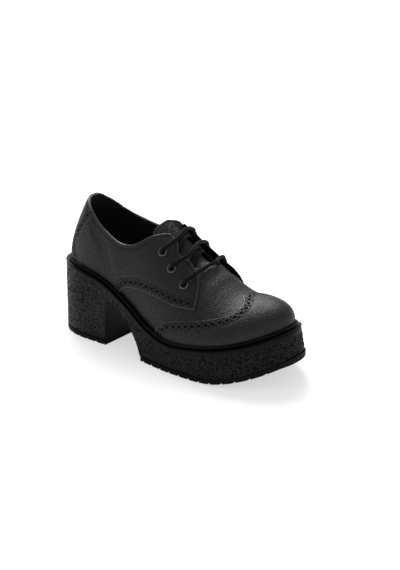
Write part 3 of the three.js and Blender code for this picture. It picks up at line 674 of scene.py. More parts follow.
def add_piece(name, points, faces, materials, nodes=(), slots=None, flat=False):
    """A mesh object that rides on the shoe; slots pick each triangle's material."""
    mesh = bpy.data.meshes.new(name)
    mesh.from_pydata(to_frame(points).tolist(), [], [list(map(int, f)) for f in faces])
    mesh.validate()
    if not flat:
        mesh.polygons.foreach_set("use_smooth", np.ones(len(mesh.polygons), bool))
    for word in materials:
        mesh.materials.append(MATERIALS[word])
    if slots is not None and len(slots) == len(mesh.polygons):
        mesh.polygons.foreach_set("material_index", np.asarray(slots, np.int32))
    piece = bpy.data.objects.new(name, mesh)
    bpy.context.scene.collection.objects.link(piece)
    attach(piece, "root")
    if nodes:
        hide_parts(*nodes)
    return piece


def thick(points_out, points_in, faces):
    """Two skins joined round the rim, with a mark for outer, inner and rim triangles."""
    count = len(points_out)
    rim = rim_edges(faces)
    a, b = rim.T
    sides = np.vstack([np.stack([b, a, a + count], 1), np.stack([b, a + count, b + count], 1)])
    marks = np.repeat([0, 1, 2], [len(faces), len(faces), len(sides)])
    return (np.vstack([points_out, points_in]),
            np.vstack([faces, faces[:, ::-1] + count, sides]), marks)


def raised(sheet, height):
    """Points at a height over a sheet."""
    return sheet[:, PLACE] + sheet[:, NORMAL] * height[:, None]


def rounded(distance, radius, start=0.25):
    """Share of a thickness near a rounded edge."""
    t = np.clip(distance / radius, 0, 1)
    return start + (1 - start) * np.sqrt(np.maximum(0, 1 - (1 - t) ** 2))


def groove(distance, at, width, depth):
    """A soft channel along an edge."""
    return depth * np.exp(-((distance - at) / width) ** 2)


def sewn_lines(sheet, outer, faces, seams):
    """Chains of rows along the seams of a panel, on its outer skin."""
    skin = np.column_stack([outer, sheet[:, NORMAL], sheet[:, WRAP:]])
    return [chain for edge, distance in seams
            for chain in lines_at(skin, faces, FIELDS + edge, distance)]


def creases(points):
    """Soft folds of the worn-in leather, listed in the shoe's own sizes."""
    total = np.zeros(len(points))
    x, y = points[:, 0] / LENGTH, points[:, 1] / BALL
    z = (points[:, 2] - feather_height(points[:, 0])) / INSTEP
    for at, high, lean, width, reach, depth in CREASES:
        line = (x - at) + lean * (z - high)
        total += depth * np.exp(-(line / width) ** 2) * np.exp(-((z - high) / reach) ** 2)
    for at, across, bow, width, depth in FLEX_LINES:
        line = x - at + bow * (y - across) ** 2
        total += depth * np.exp(-(line / width) ** 2) * smooth(0.16, 0.30, z)
    return total


# at, height, lean, width, reach of the folds in the sides; depth in millimetres, minus is a trough
CREASES = [
    (0.235, 0.30, 0.25, 0.040, 0.16, -0.9), (0.300, 0.22, 0.20, 0.030, 0.14, 0.5),
    (0.395, 0.36, -0.15, 0.035, 0.14, -0.5), (0.160, 0.36, 0.30, 0.020, 0.16, 0.4),
    (0.600, 0.18, 0.10, 0.022, 0.10, -0.3), (0.470, 0.12, 0.15, 0.030, 0.10, -0.5),
]
# at, across, bow, width of the folds over the vamp; depth in millimetres
FLEX_LINES = [(0.690, 0.02, 0.10, 0.010, -0.25), (0.716, 0.02, 0.12, 0.011, 0.18),
              (0.742, 0.03, 0.14, 0.010, -0.20)]


# Materials

def new_group(name, inputs, outputs):
    """An empty shader node group."""
    group = bpy.data.node_groups.new(name, "ShaderNodeTree")
    for socket, kind, value in inputs:
        item = group.interface.new_socket(socket, in_out="INPUT", socket_type=kind)
        if value is not None:
            item.default_value = value
    for socket, kind in outputs:
        group.interface.new_socket(socket, in_out="OUTPUT", socket_type=kind)
    return group


class Tree:
    """Short ways to lay out nodes."""

    def __init__(self, tree):
        self.tree = tree
        self.count = 0

    def add(self, kind, inputs=None, **settings):
        """A node with its settings and inputs."""
        node = self.tree.nodes.new(kind)
        node.location = (220 * (self.count % 8), -260 * (self.count // 8))
        self.count += 1
        for key, value in settings.items():
            setattr(node, key, value)
        return self.feed(node, inputs or {})

    def feed(self, node, inputs):
        """Link or set a node's inputs."""
        for key, value in inputs.items():
            if isinstance(value, bpy.types.NodeSocket):
                self.tree.links.new(value, node.inputs[key])
            else:
                node.inputs[key].default_value = value
        return node

    def math(self, operation, a, b=0.0, clamp=False):
        """One sum of two values."""
        return self.add("ShaderNodeMath", {0: a, 1: b}, operation=operation,
                        use_clamp=clamp).outputs[0]

    def ramp(self, value, low, high, start=0.0, stop=1.0):
        """A value carried from one range to another."""
        return self.add("ShaderNodeMapRange", {
            "Value": value, "From Min": low, "From Max": high, "To Min": start,
            "To Max": stop}).outputs[0]

    def mix(self, share, a, b):
        """A colour between two."""
        node = self.add("ShaderNodeMix", {0: share, 6: a, 7: b}, data_type="RGBA")
        return node.outputs[2]

    def bump(self, height, depth):
        """A normal tilted by a height."""
        return self.add("ShaderNodeBump", {"Height": height, "Strength": 1.0,
                                           "Distance": depth}).outputs[0]

    def group(self, name, inputs):
        """A shared group, placed in a material."""
        return self.feed(self.add("ShaderNodeGroup", node_tree=GROUPS[name]), inputs)


def pebble_group():
    """Height and cell pattern of pebbled leather."""
    group = new_group("Pebbled grain", [
        ("Coordinates", "NodeSocketVector", None), ("Pebbles per metre", "NodeSocketFloat", 900.0),
        ("Softness", "NodeSocketFloat", 0.35)],
        [("Height", "NodeSocketFloat"), ("Valleys", "NodeSocketFloat")])
    t = Tree(group)
    inlet = t.add("NodeGroupInput")
    where, size = inlet.outputs[0], inlet.outputs[1]
    bend = t.add("ShaderNodeTexNoise", {
        "Vector": where, "Scale": t.math("MULTIPLY", size, 0.5), "Detail": 2.0}).outputs["Color"]
    push = t.add("ShaderNodeVectorMath", {0: bend, 1: (0.5, 0.5, 0.5)}, operation="SUBTRACT")
    push = t.add("ShaderNodeVectorMath", {
        0: push.outputs[0], "Scale": t.math("DIVIDE", 0.9, size)}, operation="SCALE")
    warped = t.add("ShaderNodeVectorMath", {0: where, 1: push.outputs[0]}).outputs[0]
    cells = t.add("ShaderNodeTexVoronoi", {
        "Vector": warped, "Scale": size, "Randomness": 1.0, "Smoothness": inlet.outputs[2]},
        feature="SMOOTH_F1").outputs["Distance"]
    fine = t.add("ShaderNodeTexNoise", {
        "Vector": where, "Scale": t.math("MULTIPLY", size, 3.1), "Detail": 3.0}).outputs[0]
    height = t.math("SUBTRACT", 1.0, t.math("MULTIPLY", cells, 1.15))
    height = t.math("ADD", height, t.math("MULTIPLY", fine, 0.25))
    valleys = t.ramp(cells, 0.45, 0.85)
    t.add("NodeGroupOutput", {0: height, 1: valleys})
    return group


def dust_group():
    """Broad uneven patches and fine specks."""
    group = new_group("Uneven finish", [
        ("Coordinates", "NodeSocketVector", None), ("Patches per metre", "NodeSocketFloat", 30.0)],
        [("Patches", "NodeSocketFloat"), ("Specks", "NodeSocketFloat")])
    t = Tree(group)
    inlet = t.add("NodeGroupInput")
    patches = t.add("ShaderNodeTexNoise", {
        "Vector": inlet.outputs[0], "Scale": inlet.outputs[1], "Detail": 4.0,
        "Roughness": 0.55}).outputs[0]
    specks = t.add("ShaderNodeTexNoise", {
        "Vector": inlet.outputs[0], "Scale": t.math("MULTIPLY", inlet.outputs[1], 60.0),
        "Detail": 2.0}).outputs[0]
    t.add("NodeGroupOutput", {0: t.ramp(patches, 0.35, 0.65), 1: t.ramp(specks, 0.55, 0.75)})
    return group


def start_material(name):
    """A material with its shader, and the object's own coordinates."""
    material = bpy.data.materials.new(name)
    material.use_nodes = True
    t = Tree(material.node_tree)
    where = t.add("ShaderNodeTexCoord").outputs["Object"]
    return material, t, material.node_tree.nodes["Principled BSDF"], where


def shade(colour, factor):
    """A colour made lighter or darker."""
    return tuple(min(1.0, c * factor) for c in colour[:3]) + (1.0,)


def leather_material(name, colour, rough, pebbles, depth, coat=0.0):
    """Leather with pebbled grain, its valleys painted darker as painted shade."""
    material, t, shader, where = start_material(name)
    grain = t.group("grain", {"Coordinates": where, "Pebbles per metre": pebbles})
    finish = t.group("finish", {"Coordinates": where})
    valleys, patches = grain.outputs["Valleys"], finish.outputs["Patches"]
    body = t.mix(patches, shade(colour, 0.86), shade(colour, 1.14))
    t.feed(shader, {
        # The grain's valleys are painted darker: painted shade in the hollows of the grain
        "Base Color": t.mix(t.math("MULTIPLY", valleys, 0.8), body, shade(colour, 0.25)),
        "Roughness": t.math("ADD", t.ramp(patches, 0, 1, rough - 0.03, rough + 0.05),
                            t.math("MULTIPLY", valleys, 0.18)),
        "Normal": t.bump(grain.outputs["Height"], depth),
        "Coat Weight": coat, "Coat Roughness": 0.35})
    return material


def rubber_material(name, colour, rough, lumps, depth, glint=0.0):
    """Rubber, smooth or with a coarse crepe grain whose lumps shine; lumps are painted lighter and
    valleys darker, a painted highlight and painted shade.
    """
    material, t, shader, where = start_material(name)
    finish = t.group("finish", {"Coordinates": where, "Patches per metre": 50.0})
    grain = t.group("grain", {
        "Coordinates": where, "Pebbles per metre": lumps, "Softness": 0.2})
    valleys, specks = grain.outputs["Valleys"], finish.outputs["Specks"]
    # Lumps painted lighter and valleys darker: a painted highlight on the lumps and painted shade
    # in the valleys
    body = t.mix(valleys, shade(colour, 1.6), shade(colour, 0.1))
    t.feed(shader, {
        "Base Color": t.mix(t.math("MULTIPLY", specks, 0.4), body, shade(colour, 1.7)),
        "Roughness": t.ramp(finish.outputs["Patches"], 0, 1, rough - 0.05, rough + 0.08),
        "Normal": t.bump(grain.outputs["Height"], depth),
        "Specular IOR Level": 0.16,
        "Coat Weight": t.ramp(valleys, 0, 0.6, glint, 0), "Coat Roughness": 0.22})
    return material


def braid_material(name, colour):
    """Round waxed lace with a fine braid."""
    material, t, shader, where = start_material(name)
    wave = t.add("ShaderNodeTexWave", {"Vector": where, "Scale": 520.0, "Distortion": 2.5,
                                       "Detail": 2.0, "Detail Scale": 2.0},
                 bands_direction="DIAGONAL").outputs["Fac"]
    t.feed(shader, {
        "Base Color": t.mix(wave, shade(colour, 0.55), shade(colour, 1.35)),
        "Roughness": t.ramp(wave, 0, 1, 0.72, 0.5),
        "Normal": t.bump(wave, 0.00025), "Specular IOR Level": 0.22})
    return material


def enamel_material(name, colour):
    """Black enamelled metal with a little wear."""
    material, t, shader, where = start_material(name)
    finish = t.group("finish", {"Coordinates": where, "Patches per metre": 300.0})
    t.feed(shader, {
        "Base Color": t.mix(finish.outputs["Specks"], shade(colour, 1.0), shade(colour, 2.2)),
        "Roughness": t.ramp(finish.outputs["Patches"], 0, 1, 0.24, 0.38), "Metallic": 0.8})
    return material


def floor_material(colour, glow):
    """Pale floor, brighter to the camera and with distance than to the shoe."""
    material, t, shader, where = start_material("Pale floor")
    cloud = t.add("ShaderNodeTexNoise", {"Vector": where, "Scale": 3.0, "Detail": 3.0}).outputs[0]
    seen = t.add("ShaderNodeLightPath").outputs["Is Camera Ray"]
    away = t.add("ShaderNodeVectorMath", {0: where}, operation="LENGTH").outputs["Value"]
    away = t.math("MULTIPLY", away, 0.5, clamp=True)
    shown = t.ramp(away, 0.1, 0.6, glow, 1.4 * glow)
    t.feed(shader, {
        "Base Color": t.mix(t.ramp(cloud, 0.3, 0.7), shade(colour, 0.985), shade(colour, 1.0)),
        "Roughness": 0.85, "Emission Color": (1.0, 1.0, 1.0, 1.0),
        "Emission Strength": t.ramp(seen, 0, 1, 0.25 * glow, shown)})
    return material


# Pieces

def circle(around):
    """Cosines and sines of even places on a circle, as columns."""
    angle = np.arange(around)[:, None] / around * 2 * np.pi
    return np.cos(angle), np.sin(angle)


def capped_faces(rings, around):
    """Triangles of a closed tube."""
    faces = [strip_faces(rings, around)]
    for i in range(1, around - 1):
        faces += [[(0, i + 1, i)], [[(rings - 1) * around + q for q in (0, i, i + 1)]]]
    return np.vstack(faces)


def stitches(name, runs, length=2.3, pitch=3.0, radius=0.28, lift=0.05):
    """Rows of stitches as one mesh."""
    around, rings = 5, 4
    cos, sin = circle(around)
    bead = []
    for share in np.linspace(-1, 1, rings):
        fat = radius * math.sqrt(max(0.08, 1 - share ** 4))
        droop = -0.5 * radius * share ** 2
        bead.append(np.hstack([np.full((around, 1), share / 2 * length), fat * cos,
                               fat * sin + droop]))
    bead, faces = np.vstack(bead), capped_faces(rings, around)
    points, triangles = [], []
    for run in runs:
        for row in stations(run, pitch, pitch / 2):
            where, normal, ahead = row[:3], row[3:6], row[6:9]
            triangles.append(faces + len(points) * len(bead))
            points.append(where + normal * lift
                          + bead @ np.array([ahead, np.cross(normal, ahead), normal]))
    if points:
        add_piece(name, np.vstack(points), np.vstack(triangles), ["thread"])


def holes_along(chain):
    """Brogue pattern: an oval, then a pair of pinholes, and so on."""
    holes = []
    for k, row in enumerate(stations(chain, HOLE_PITCH, HOLE_INSET)):
        if k % 2 == 0:
            holes.append(np.concatenate([row, OVAL]))
        else:
            across = np.cross(row[3:6], row[6:9])
            for way in (-PINHOLE_APART, PINHOLE_APART):
                spot = np.concatenate([row, [PINHOLE, PINHOLE]])
                spot[:3] += way * across
                holes.append(spot)
    return holes


def eyelet_axes():
    """Places and directions of the eyelets, as holes through the leather."""
    rows = []
    for row in range(len(EYELETS)):
        for side in (-1, 1):
            point, normal, inward = eyelet_seat(row, side)
            rows.append(np.concatenate([point, normal, inward, [EYELET_HOLE, EYELET_HOLE]]))
    return np.array(rows)


def cut_eyelet_holes(sheet, faces):
    """Round holes through the leather at the eyelets."""
    axes = eyelet_axes()
    sheet, faces = refine(sheet, faces, axes[:, :3], 9.0, 0.7)
    gap = np.full(len(sheet), FAR)
    for row in axes:
        delta = sheet[:, PLACE] - row[:3]
        along = delta @ row[3:6]
        radial = np.linalg.norm(delta - along[:, None] * row[3:6], axis=1)
        gap = np.minimum(gap, np.where(np.abs(along) < 12, radial - row[9], FAR))
    sheet, faces = trim(sheet, faces, gap)
    return sheet[:, :-1], faces


def make_panel(name, node, edges, top, bottom, seams, perforated, eyelets=False, one_side=0):
    """A leather panel with rounded edges, sewn lines and brogue holes."""
    sheet, faces = SHEETS["last"]
    if one_side:
        faces = faces[(sheet[faces, 1].mean(1) < MIDDLE) == (one_side < 0)]
        sheet, faces = tidy(sheet, faces)
    sheet, faces = cut_panel(sheet, faces, edges)
    if eyelets:
        sheet, faces = cut_eyelet_holes(sheet, faces)
    whole = sheet.shape[1] - 1
    sheet, faces = score(sheet, faces, whole, RIM_CUTS)
    for edge, distance in seams:
        sheet, faces = score(sheet, faces, FIELDS + edge,
                             (distance - SEAM_MARGIN, distance, distance + SEAM_MARGIN))
    sheet, faces = cut(sheet, faces, FIELDS, perforated)
    holes = np.array([hole for chain in lines_at(sheet, faces, FIELDS, perforated)
                      for hole in holes_along(chain)])
    sheet, faces = refine(sheet, faces, holes[:, :3], 2.2, 0.6)
    sheet = np.column_stack([sheet, hole_depth_field(sheet, holes)])
    field = sheet.shape[1] - 1
    sheet, faces = score(sheet, faces, field, HOLE_CUTS)
    side = np.where(sheet[:, 1] < ridge_at(sheet[:, 0]), -1, 1)
    at, wrap = sheet[:, 0] / LENGTH, sheet[:, WRAP]
    low, high = (f(at, wrap, side) if callable(f) else np.full(len(sheet), f)
                 for f in (bottom, top))
    face = low + (high - low) * rounded(sheet[:, whole], RIM_ROUND)
    for edge, distance in seams:
        face -= groove(sheet[:, FIELDS + edge], distance, SEAM_WIDTH, SEAM_DEPTH)
    face -= 0.85 * (high - low) * (1 - smooth(-0.18, 0.15, sheet[:, field]))
    fold = creases(sheet[:, PLACE])
    outer, inner = raised(sheet, face + fold), raised(sheet, low + fold)
    points, triangles, marks = thick(outer, inner, faces)
    # Rim sides and faces near the edge take the lighter edge material: a painted highlight of the
    # rounded edge
    slots = np.choose(marks, [0, 1, 3])
    slots[:len(faces)][(sheet[faces, whole] < RIM_PAINTED_HIGHLIGHT).all(1)] = 3
    # Faces inside the brogue holes take the near-black hole material: painted shade in the holes
    slots[:len(faces)][(sheet[faces, field] < -0.02).all(1)] = 2
    add_piece(name, points, triangles, ["leather", "lining", "pit", "edge"], [node], slots=slots)
    return sewn_lines(sheet, outer, faces, seams)


def make_upper_shell():
    """The hollow upper with its lining."""
    sheet, faces = SHEETS["last"]
    sheet, faces = cut_panel(sheet, faces, [under_collar, out_of(THROAT_GAP, PLAN_VIEW)])
    sheet, faces = cut_eyelet_holes(sheet, faces)
    whole = sheet.shape[1] - 1
    sheet, faces = score(sheet, faces, whole, (0.15, 0.45, 0.9))
    fold = creases(sheet[:, PLACE])
    curl = WALL / 2 * (1 - rounded(sheet[:, whole], 0.9, 0.1))
    # Rim sides and faces near the rim take the lighter edge material: a painted highlight of the
    # rounded edge
    points, triangles, slots = thick(raised(sheet, fold - curl), raised(sheet, curl - WALL), faces)
    slots[:len(faces)][(sheet[faces, whole] < 0.5).all(1)] = 2
    add_piece("upper_shell", points, triangles, ["leather", "lining", "edge"], ["upper"],
              slots=slots)


def make_tongue_piece():
    """The tongue with its sewn rim and a few ripples."""
    sheet, faces = SHEETS["last"]
    x = sheet[faces, 0]
    faces = faces[(x.min(1) > TONGUE_SPAN[0] * LENGTH) & (x.max(1) < TONGUE_SPAN[1] * LENGTH)]
    sheet, faces = tidy(sheet, faces)
    sheet, faces = cut_panel(sheet, faces, [within(TONGUE_PLAN, PLAN_VIEW)])
    sheet, faces = score(sheet, faces, FIELDS, TONGUE_CUTS)
    at, rim = sheet[:, 0] / LENGTH, sheet[:, FIELDS]
    side = np.where(sheet[:, 1] < ridge_at(sheet[:, 0]), -1, 1)
    low = tongue_top(at, sheet[:, WRAP], side) - TONGUE
    face = low + TONGUE * rounded(rim, RIM_ROUND)
    face -= groove(rim, TONGUE_SEAM, SEAM_WIDTH, TONGUE_GROOVE)
    wave = np.sin(at * LENGTH * 1.1 + 0.3 * sheet[:, 1]) * smooth(2, 6, rim)
    ripple = TONGUE_RIPPLE * wave * (1 - smooth(0.59, 0.61, at))
    outer = raised(sheet, face + ripple - TONGUE_RIPPLE)
    # The tongue's rim sides take the lighter edge material: a painted highlight of the rounded
    # edge
    points, triangles, slots = thick(outer, raised(sheet, low), faces)
    add_piece("tongue_leather", points, triangles, ["leather", "lining", "edge"], ["tongue"],
              slots=slots)
    stitches("stitches_tongue", sewn_lines(sheet, outer, faces, [(0, TONGUE_SEAM)]))


def feather_loop(push, fan=60, length=150):
    """Loop round the feather edge, pushed out: outer side to the toe, then back."""
    rows = fine_rows(fan, length)
    outer_side = last_point(rows, 0.0, -1)
    inner_side = last_point(rows[1:-1][::-1], 0.0, 1)
    loop = np.vstack([outer_side, inner_side])[:, :2]
    ahead, behind = np.roll(loop, -1, axis=0), np.roll(loop, 1, axis=0)
    out = unit(np.stack([ahead[:, 1] - behind[:, 1], behind[:, 0] - ahead[:, 0]], 1))
    amount = push(loop[:, 0]) if callable(push) else np.full(len(loop), push)
    return loop + out * amount[:, None], loop[:, 0]


def ring(push, height, **fine):
    """A feather loop at a height."""
    loop, along = feather_loop(push, **fine)
    return np.column_stack([loop, height(along)])


def margin(name, less=0.0):
    """How far the sole stands out, as a function of the place."""
    return lambda x: BALL * read(MARGINS, name, x / LENGTH) - less


def strip_faces(rings, count, closed=False):
    """Triangles between rings of as many points."""
    faces = []
    last = rings if closed else rings - 1
    i = np.arange(count)
    for k in range(last):
        a, b = k * count + i, k * count + (i + 1) % count
        d, c = ((k + 1) % rings) * count + i, ((k + 1) % rings) * count + (i + 1) % count
        faces += [np.stack([a, b, c], 1), np.stack([a, c, d], 1)]
    return np.vstack(faces)


def make_welt_piece():
    """The smooth rib round the feather edge."""
    foot = GAP + COUNTER + GAP
    section = [(foot, 0.0), (foot + 1.2, -0.05), (foot + 1.9, 0.1)]
    for angle in np.radians(np.linspace(-40, 90, 7)):
        section.append((foot + 1.1 + 1.1 * math.cos(angle), 1.35 + 1.15 * math.sin(angle)))
    section += [(foot + 0.5, 2.45), (foot + 0.12, 2.2), (foot, 1.7)]
    rings = [ring(push, lambda x, up=up: feather_height(x) + up) for push, up in section]
    add_piece("welt_rib", np.vstack(rings),
              strip_faces(len(rings), len(rings[0]), True)[:, ::-1], ["smooth_rubber"], ["welt"])


def make_insole_piece():
    """The lined footbed, slightly dished."""
    rings = []
    for inset, up in ((0.0, 0.0), (0.0, 1.3), (0.25, 1.75), (0.8, INSOLE)):
        rings.append(ring(-WALL - 2 * GAP - inset, lambda x, up=up: feather_height(x) + up))
    edge = rings[-1]
    count = len(edge)
    centre = edge.copy()
    centre[:, 1] = (edge[:, 1] + edge[-np.arange(count) % count, 1]) / 2
    for share in (0.12, 0.3, 0.55, 0.8, 1.0):
        inward = edge * (1 - share) + centre * share
        inward[:, 2] -= 0.5 * smooth(0, 1, share)
        rings.append(inward)
    points, faces, _ = welded(np.vstack(rings), strip_faces(len(rings), count))
    add_piece("footbed", points, faces[:, ::-1], ["lining"], ["insole"])


def arch_outline():
    """Outline of the gap between heel block and platform, from the side."""
    curve = spline([(at * LENGTH, high * HEEL) for at, high in ARCH], 8)
    return np.vstack([[(BLOCK_END, -HEEL), (BLOCK_END, curve[0][1] - 3 * SHOULDER)], curve,
                      [(curve[-1][0], -HEEL)]])


def crepe(points):
    """Height of the sole's coarse grain at points."""
    heights = []
    for p in points:
        where = Vector(p) * 0.42
        bend = where * 1.7
        where += 0.5 * Vector([noise.noise(bend + Vector(away))
                               for away in ((0, 0, 0), (9, 0, 0), (0, 7, 0))])
        near = noise.voronoi(where)[0]
        heights.append(near[1] - near[0] + 0.35 * noise.noise(where * 2.6))
    return np.array(heights)


def make_sole_wall():
    """Platform, shank and block heel in one moulding."""
    fine = {"fan": 95, "length": 330}
    top = lambda x: feather_height(x) - GAP
    shoulder_low = lambda x: top(x) - SHOULDER
    foot = ring(margin("foot"), lambda x: ground_height(x) + TREAD + GAP, **fine)
    shoulder = ring(margin("shoulder"), shoulder_low, **fine)
    count, steps = len(foot), 62
    height = shoulder[:, 2] - foot[:, 2]
    rings, band = [], []
    for k in range(steps + 1):
        share = k / steps
        rings.append(foot * (1 - share) + shoulder * share)
        band.append(height * (1 - share))
    for k in range(1, 5):
        angle = math.pi / 2 * k / 4
        less = SHOULDER * (1 - math.cos(angle))
        rings.append(ring(margin("shoulder", less),
                          lambda x, up=SHOULDER * math.sin(angle): shoulder_low(x) + up, **fine))
    rings.append(ring(1.0, top, **fine))
    points, faces = np.vstack(rings), strip_faces(len(rings), count)
    normals = vertex_normals(points, faces)
    if (normals[:count * steps] * (points[:count * steps] - points.mean(0))).sum() < 0:
        faces, normals = faces[:, ::-1], -normals
    from_top = np.concatenate(band + [np.zeros(5 * count)])
    from_foot = np.concatenate([height - b for b in band] + [np.full(5 * count, 9.0)])
    rough = crepe(points) * smooth(2.6, 3.6, from_top) * smooth(0.0, 0.8, from_foot)
    step = -0.35 * smooth(2.6, CREPE_TOP, from_top)
    points = points + normals * (CREPE_HEIGHT * rough + step - CREPE_ROOM)[:, None]
    sheet = np.column_stack([points, normals, np.zeros((len(points), 2)), from_top])
    sheet, faces = trim(sheet, faces, -inside(sheet[:, SIDE_VIEW], arch_outline()))
    smooth_top = (sheet[faces, FIELDS] < CREPE_TOP).all(1)
    add_piece("sole_wall", sheet[:, PLACE], faces, ["crepe", "smooth_rubber"], ["sole_unit"],
              slots=smooth_top)
    make_sole_core(foot, shoulder)


def half_loops(loop):
    """The outer and the inner half of a feather loop, from heel to toe."""
    half = len(loop) // 2
    return [part[np.argsort(part[:, 0])] for part in (loop[:half + 1], loop[half:])]


def sole_reach(x, z, foot, shoulder):
    """Sideways places of both walls at a place of the side view."""
    sides = []
    for parts in zip(half_loops(foot), half_loops(shoulder)):
        (y0, z0), (y1, z1) = ([np.interp(x, part[:, 0], part[:, k]) for k in (1, 2)]
                              for part in parts)
        share = np.clip((z - z0) / (z1 - z0), 0, 1)
        sides.append(y0 * (1 - share) + y1 * share)
    return sides


def make_sole_core(foot, shoulder):
    """Smooth heel breast and underside of the shank, and the closed top and foot."""
    gap = arch_outline()[:-1]
    low = TREAD + GAP
    line = [(BLOCK_END, low)]
    for start, stop in zip(gap[:-1], gap[1:]):
        for t in (0.33, 0.66, 1.0):
            p = start + (stop - start) * t
            if p[1] > low:
                line.append(tuple(p))
    line.append((line[-1][0] + 0.2, low))
    across = np.linspace(0, 1, 15)
    points = []
    for x, z in line:
        a, b = sole_reach(x, z, foot, shoulder)
        points += [(x, a + 0.3 + (b - a - 0.6) * t, z) for t in across]
    points, faces = np.array(points), grid_faces(len(line), len(across))
    for loop, offset in ((foot, 0.15), (shoulder, SHOULDER - 0.15)):
        i = np.arange(1, len(loop) // 2)
        a, b = loop[i], loop[len(loop) - i]
        lid = np.concatenate([a + (b - a) * t + [0, 0, offset] for t in np.linspace(0, 1, 5)], 1)
        lid, triangles = lid.reshape(-1, 3), grid_faces(len(i), 5)
        if loop is foot:
            middle = lid[triangles].mean(1)[:, 0]
            triangles = triangles[(middle < BLOCK_END - 0.4) | (middle > line[-1][0] + 0.4)]
        faces = np.vstack([faces, triangles + len(points)])
        points = np.vstack([points, lid])
    add_piece("sole_underside", points, faces, ["smooth_rubber"])


def make_tread(name, node, start, stop):
    """A smooth band with cross grooves underneath."""
    loop, _ = feather_loop(margin("foot"), length=180)
    outer, inner = half_loops(loop)
    low, high = max(start, loop[:, 0].min() + 0.01), min(stop, loop[:, 0].max() - 0.01)
    bend = np.linspace(0, 1, 90)
    xs = np.concatenate([np.linspace(low, high, 90), low + 12 * bend ** 2, high - 12 * bend ** 2])
    groove_edges = []
    for k in range(40):
        for side in (-1, 1):
            edge = (k + 0.5) * LUG_PITCH + side * LUG_GROOVE / 2
            if low < edge - 0.02 and edge + 0.02 < high:
                groove_edges += [edge - 0.01, edge + 0.01]
    xs = np.unique(np.round(np.concatenate([xs[(xs >= low) & (xs <= high)], groove_edges]), 4))
    xs = xs[np.concatenate([[True], np.diff(xs) > 0.015])]
    in_groove = np.abs(xs % LUG_PITCH - LUG_PITCH / 2) < LUG_GROOVE / 2
    lift = np.where(in_groove, LUG_DEPTH, 0.0)
    a, b = (np.interp(xs, part[:, 0], part[:, 1]) for part in (outer, inner))
    ground = ground_height(xs)
    bevel = np.minimum(TREAD_BEVEL, (b - a) / 2.2)
    profile = [(0.0, TREAD), (0.0, 2.4), (0.0, TREAD_BEVEL), (0.3, 0.3), (1.0, 0.0)]
    rows = [(a + inset * bevel, up) for inset, up in profile]
    rows += [(a + bevel + (b - a - 2 * bevel) * t, 0.0) for t in (0.25, 0.5, 0.75)]
    rows += [(b - inset * bevel, up) for inset, up in profile[::-1]]
    points = np.stack([np.stack([xs, y, ground + np.maximum(up, lift)], 1) for y, up in rows], 1)
    add_piece(name, points.reshape(-1, 3), capped_faces(len(xs), len(rows))[:, ::-1], ["tread"],
              [node], flat=True)


def tube(points, radius, around=14, spacing=0.7):
    """A round cord through points."""
    path = spline(points, 24)
    along = lengths(path)
    path = sampled(path, along, np.linspace(0, along[-1], max(8, int(along[-1] / spacing))))
    ahead = unit(np.gradient(path, axis=0))
    side = unit(np.cross(ahead[0], [0.0, 0.0, 1.0]) + 1e-6)
    rows, (cos, sin) = [], circle(around)
    for k, centre in enumerate(path):
        side = unit(side - ahead[k] * (side @ ahead[k]))
        up = np.cross(ahead[k], side)
        r = radius * min(1.0, 0.55 + 0.25 * min(k, len(path) - 1 - k))
        rows.append(centre + r * (cos * side + sin * up))
    return np.vstack(rows), capped_faces(len(rows), around)[:, ::-1]


def bar_points(row):
    """A bar of the lace, from under one facing to under the other."""
    over = lambda at, wrap, side: quarter_top(at, wrap, side) + GAP + BAR_OVER[side] * CORD
    hole, edge = EYELETS[row], BAR_EDGES[row]
    middle_at = edge[2]
    on_vamp = middle_at > THROAT[-1][0]
    low = (0 if on_vamp else -WALL) + GAP + CORD
    halves = []
    for side in (-1, 1):
        point, normal, inward = eyelet_seat(row, side)
        start = (hole[0], -hole[1]) if side < 0 else hole[2:]
        stop = (edge[0], -edge[1]) if side < 0 else edge[3:]
        half = [point - 5.4 * normal + 2.6 * inward, point - 2.6 * normal + 0.4 * inward]
        half += [point + CORD * (a * inward + b * normal) for a, b in LACE_RISE[side]]
        for share in BAR_SHARES[side]:
            at, across = (p + (q - p) * share for p, q in zip(start, stop))
            half.append(on_upper(at, across * BALL, over)[0])
        if on_vamp:
            at = (stop[0] + middle_at) / 2
            half.append(on_upper(at, stop[1] / 2 * BALL, low + GAP)[0])
        halves.append(half)
    middle = on_upper(middle_at, 0.0, low + CORD)[0]
    return halves[0] + [middle] + halves[1][::-1]


def strand_points(lower, upper, way):
    """A strand under the facings, from an outer eyelet to the inner one above it."""
    points = []
    for share in np.linspace(0, 1, 9):
        at = EYELETS[lower][0] * (1 - share) + EYELETS[upper][2] * share
        across = -EYELETS[lower][1] * (1 - share) + EYELETS[upper][3] * share
        apart = way * STRANDS_APART * 4 * share * (1 - share) / LENGTH
        points.append(on_upper(at + apart, across * BALL, -WALL - GAP - CORD)[0])
    return points


def make_lace_pieces():
    """Bars through the eyelets and the strands beneath them."""
    for row in range(len(EYELETS)):
        points, faces = tube(bar_points(row), CORD)
        add_piece(f"lace_cord_{row + 1}", points, faces, ["lace"], [f"lace_bar_{row + 1}"])
    for row in range(1, len(EYELETS)):
        (a, a_faces), (b, b_faces) = (tube(strand_points(row, row - 1, way), CORD)
                                      for way in (-1, 1))
        add_piece(f"lace_strands_{row}", np.vstack([a, b]), np.vstack([a_faces, b_faces + len(a)]),
                  ["lace"], [f"lace_crossing_{row}"])


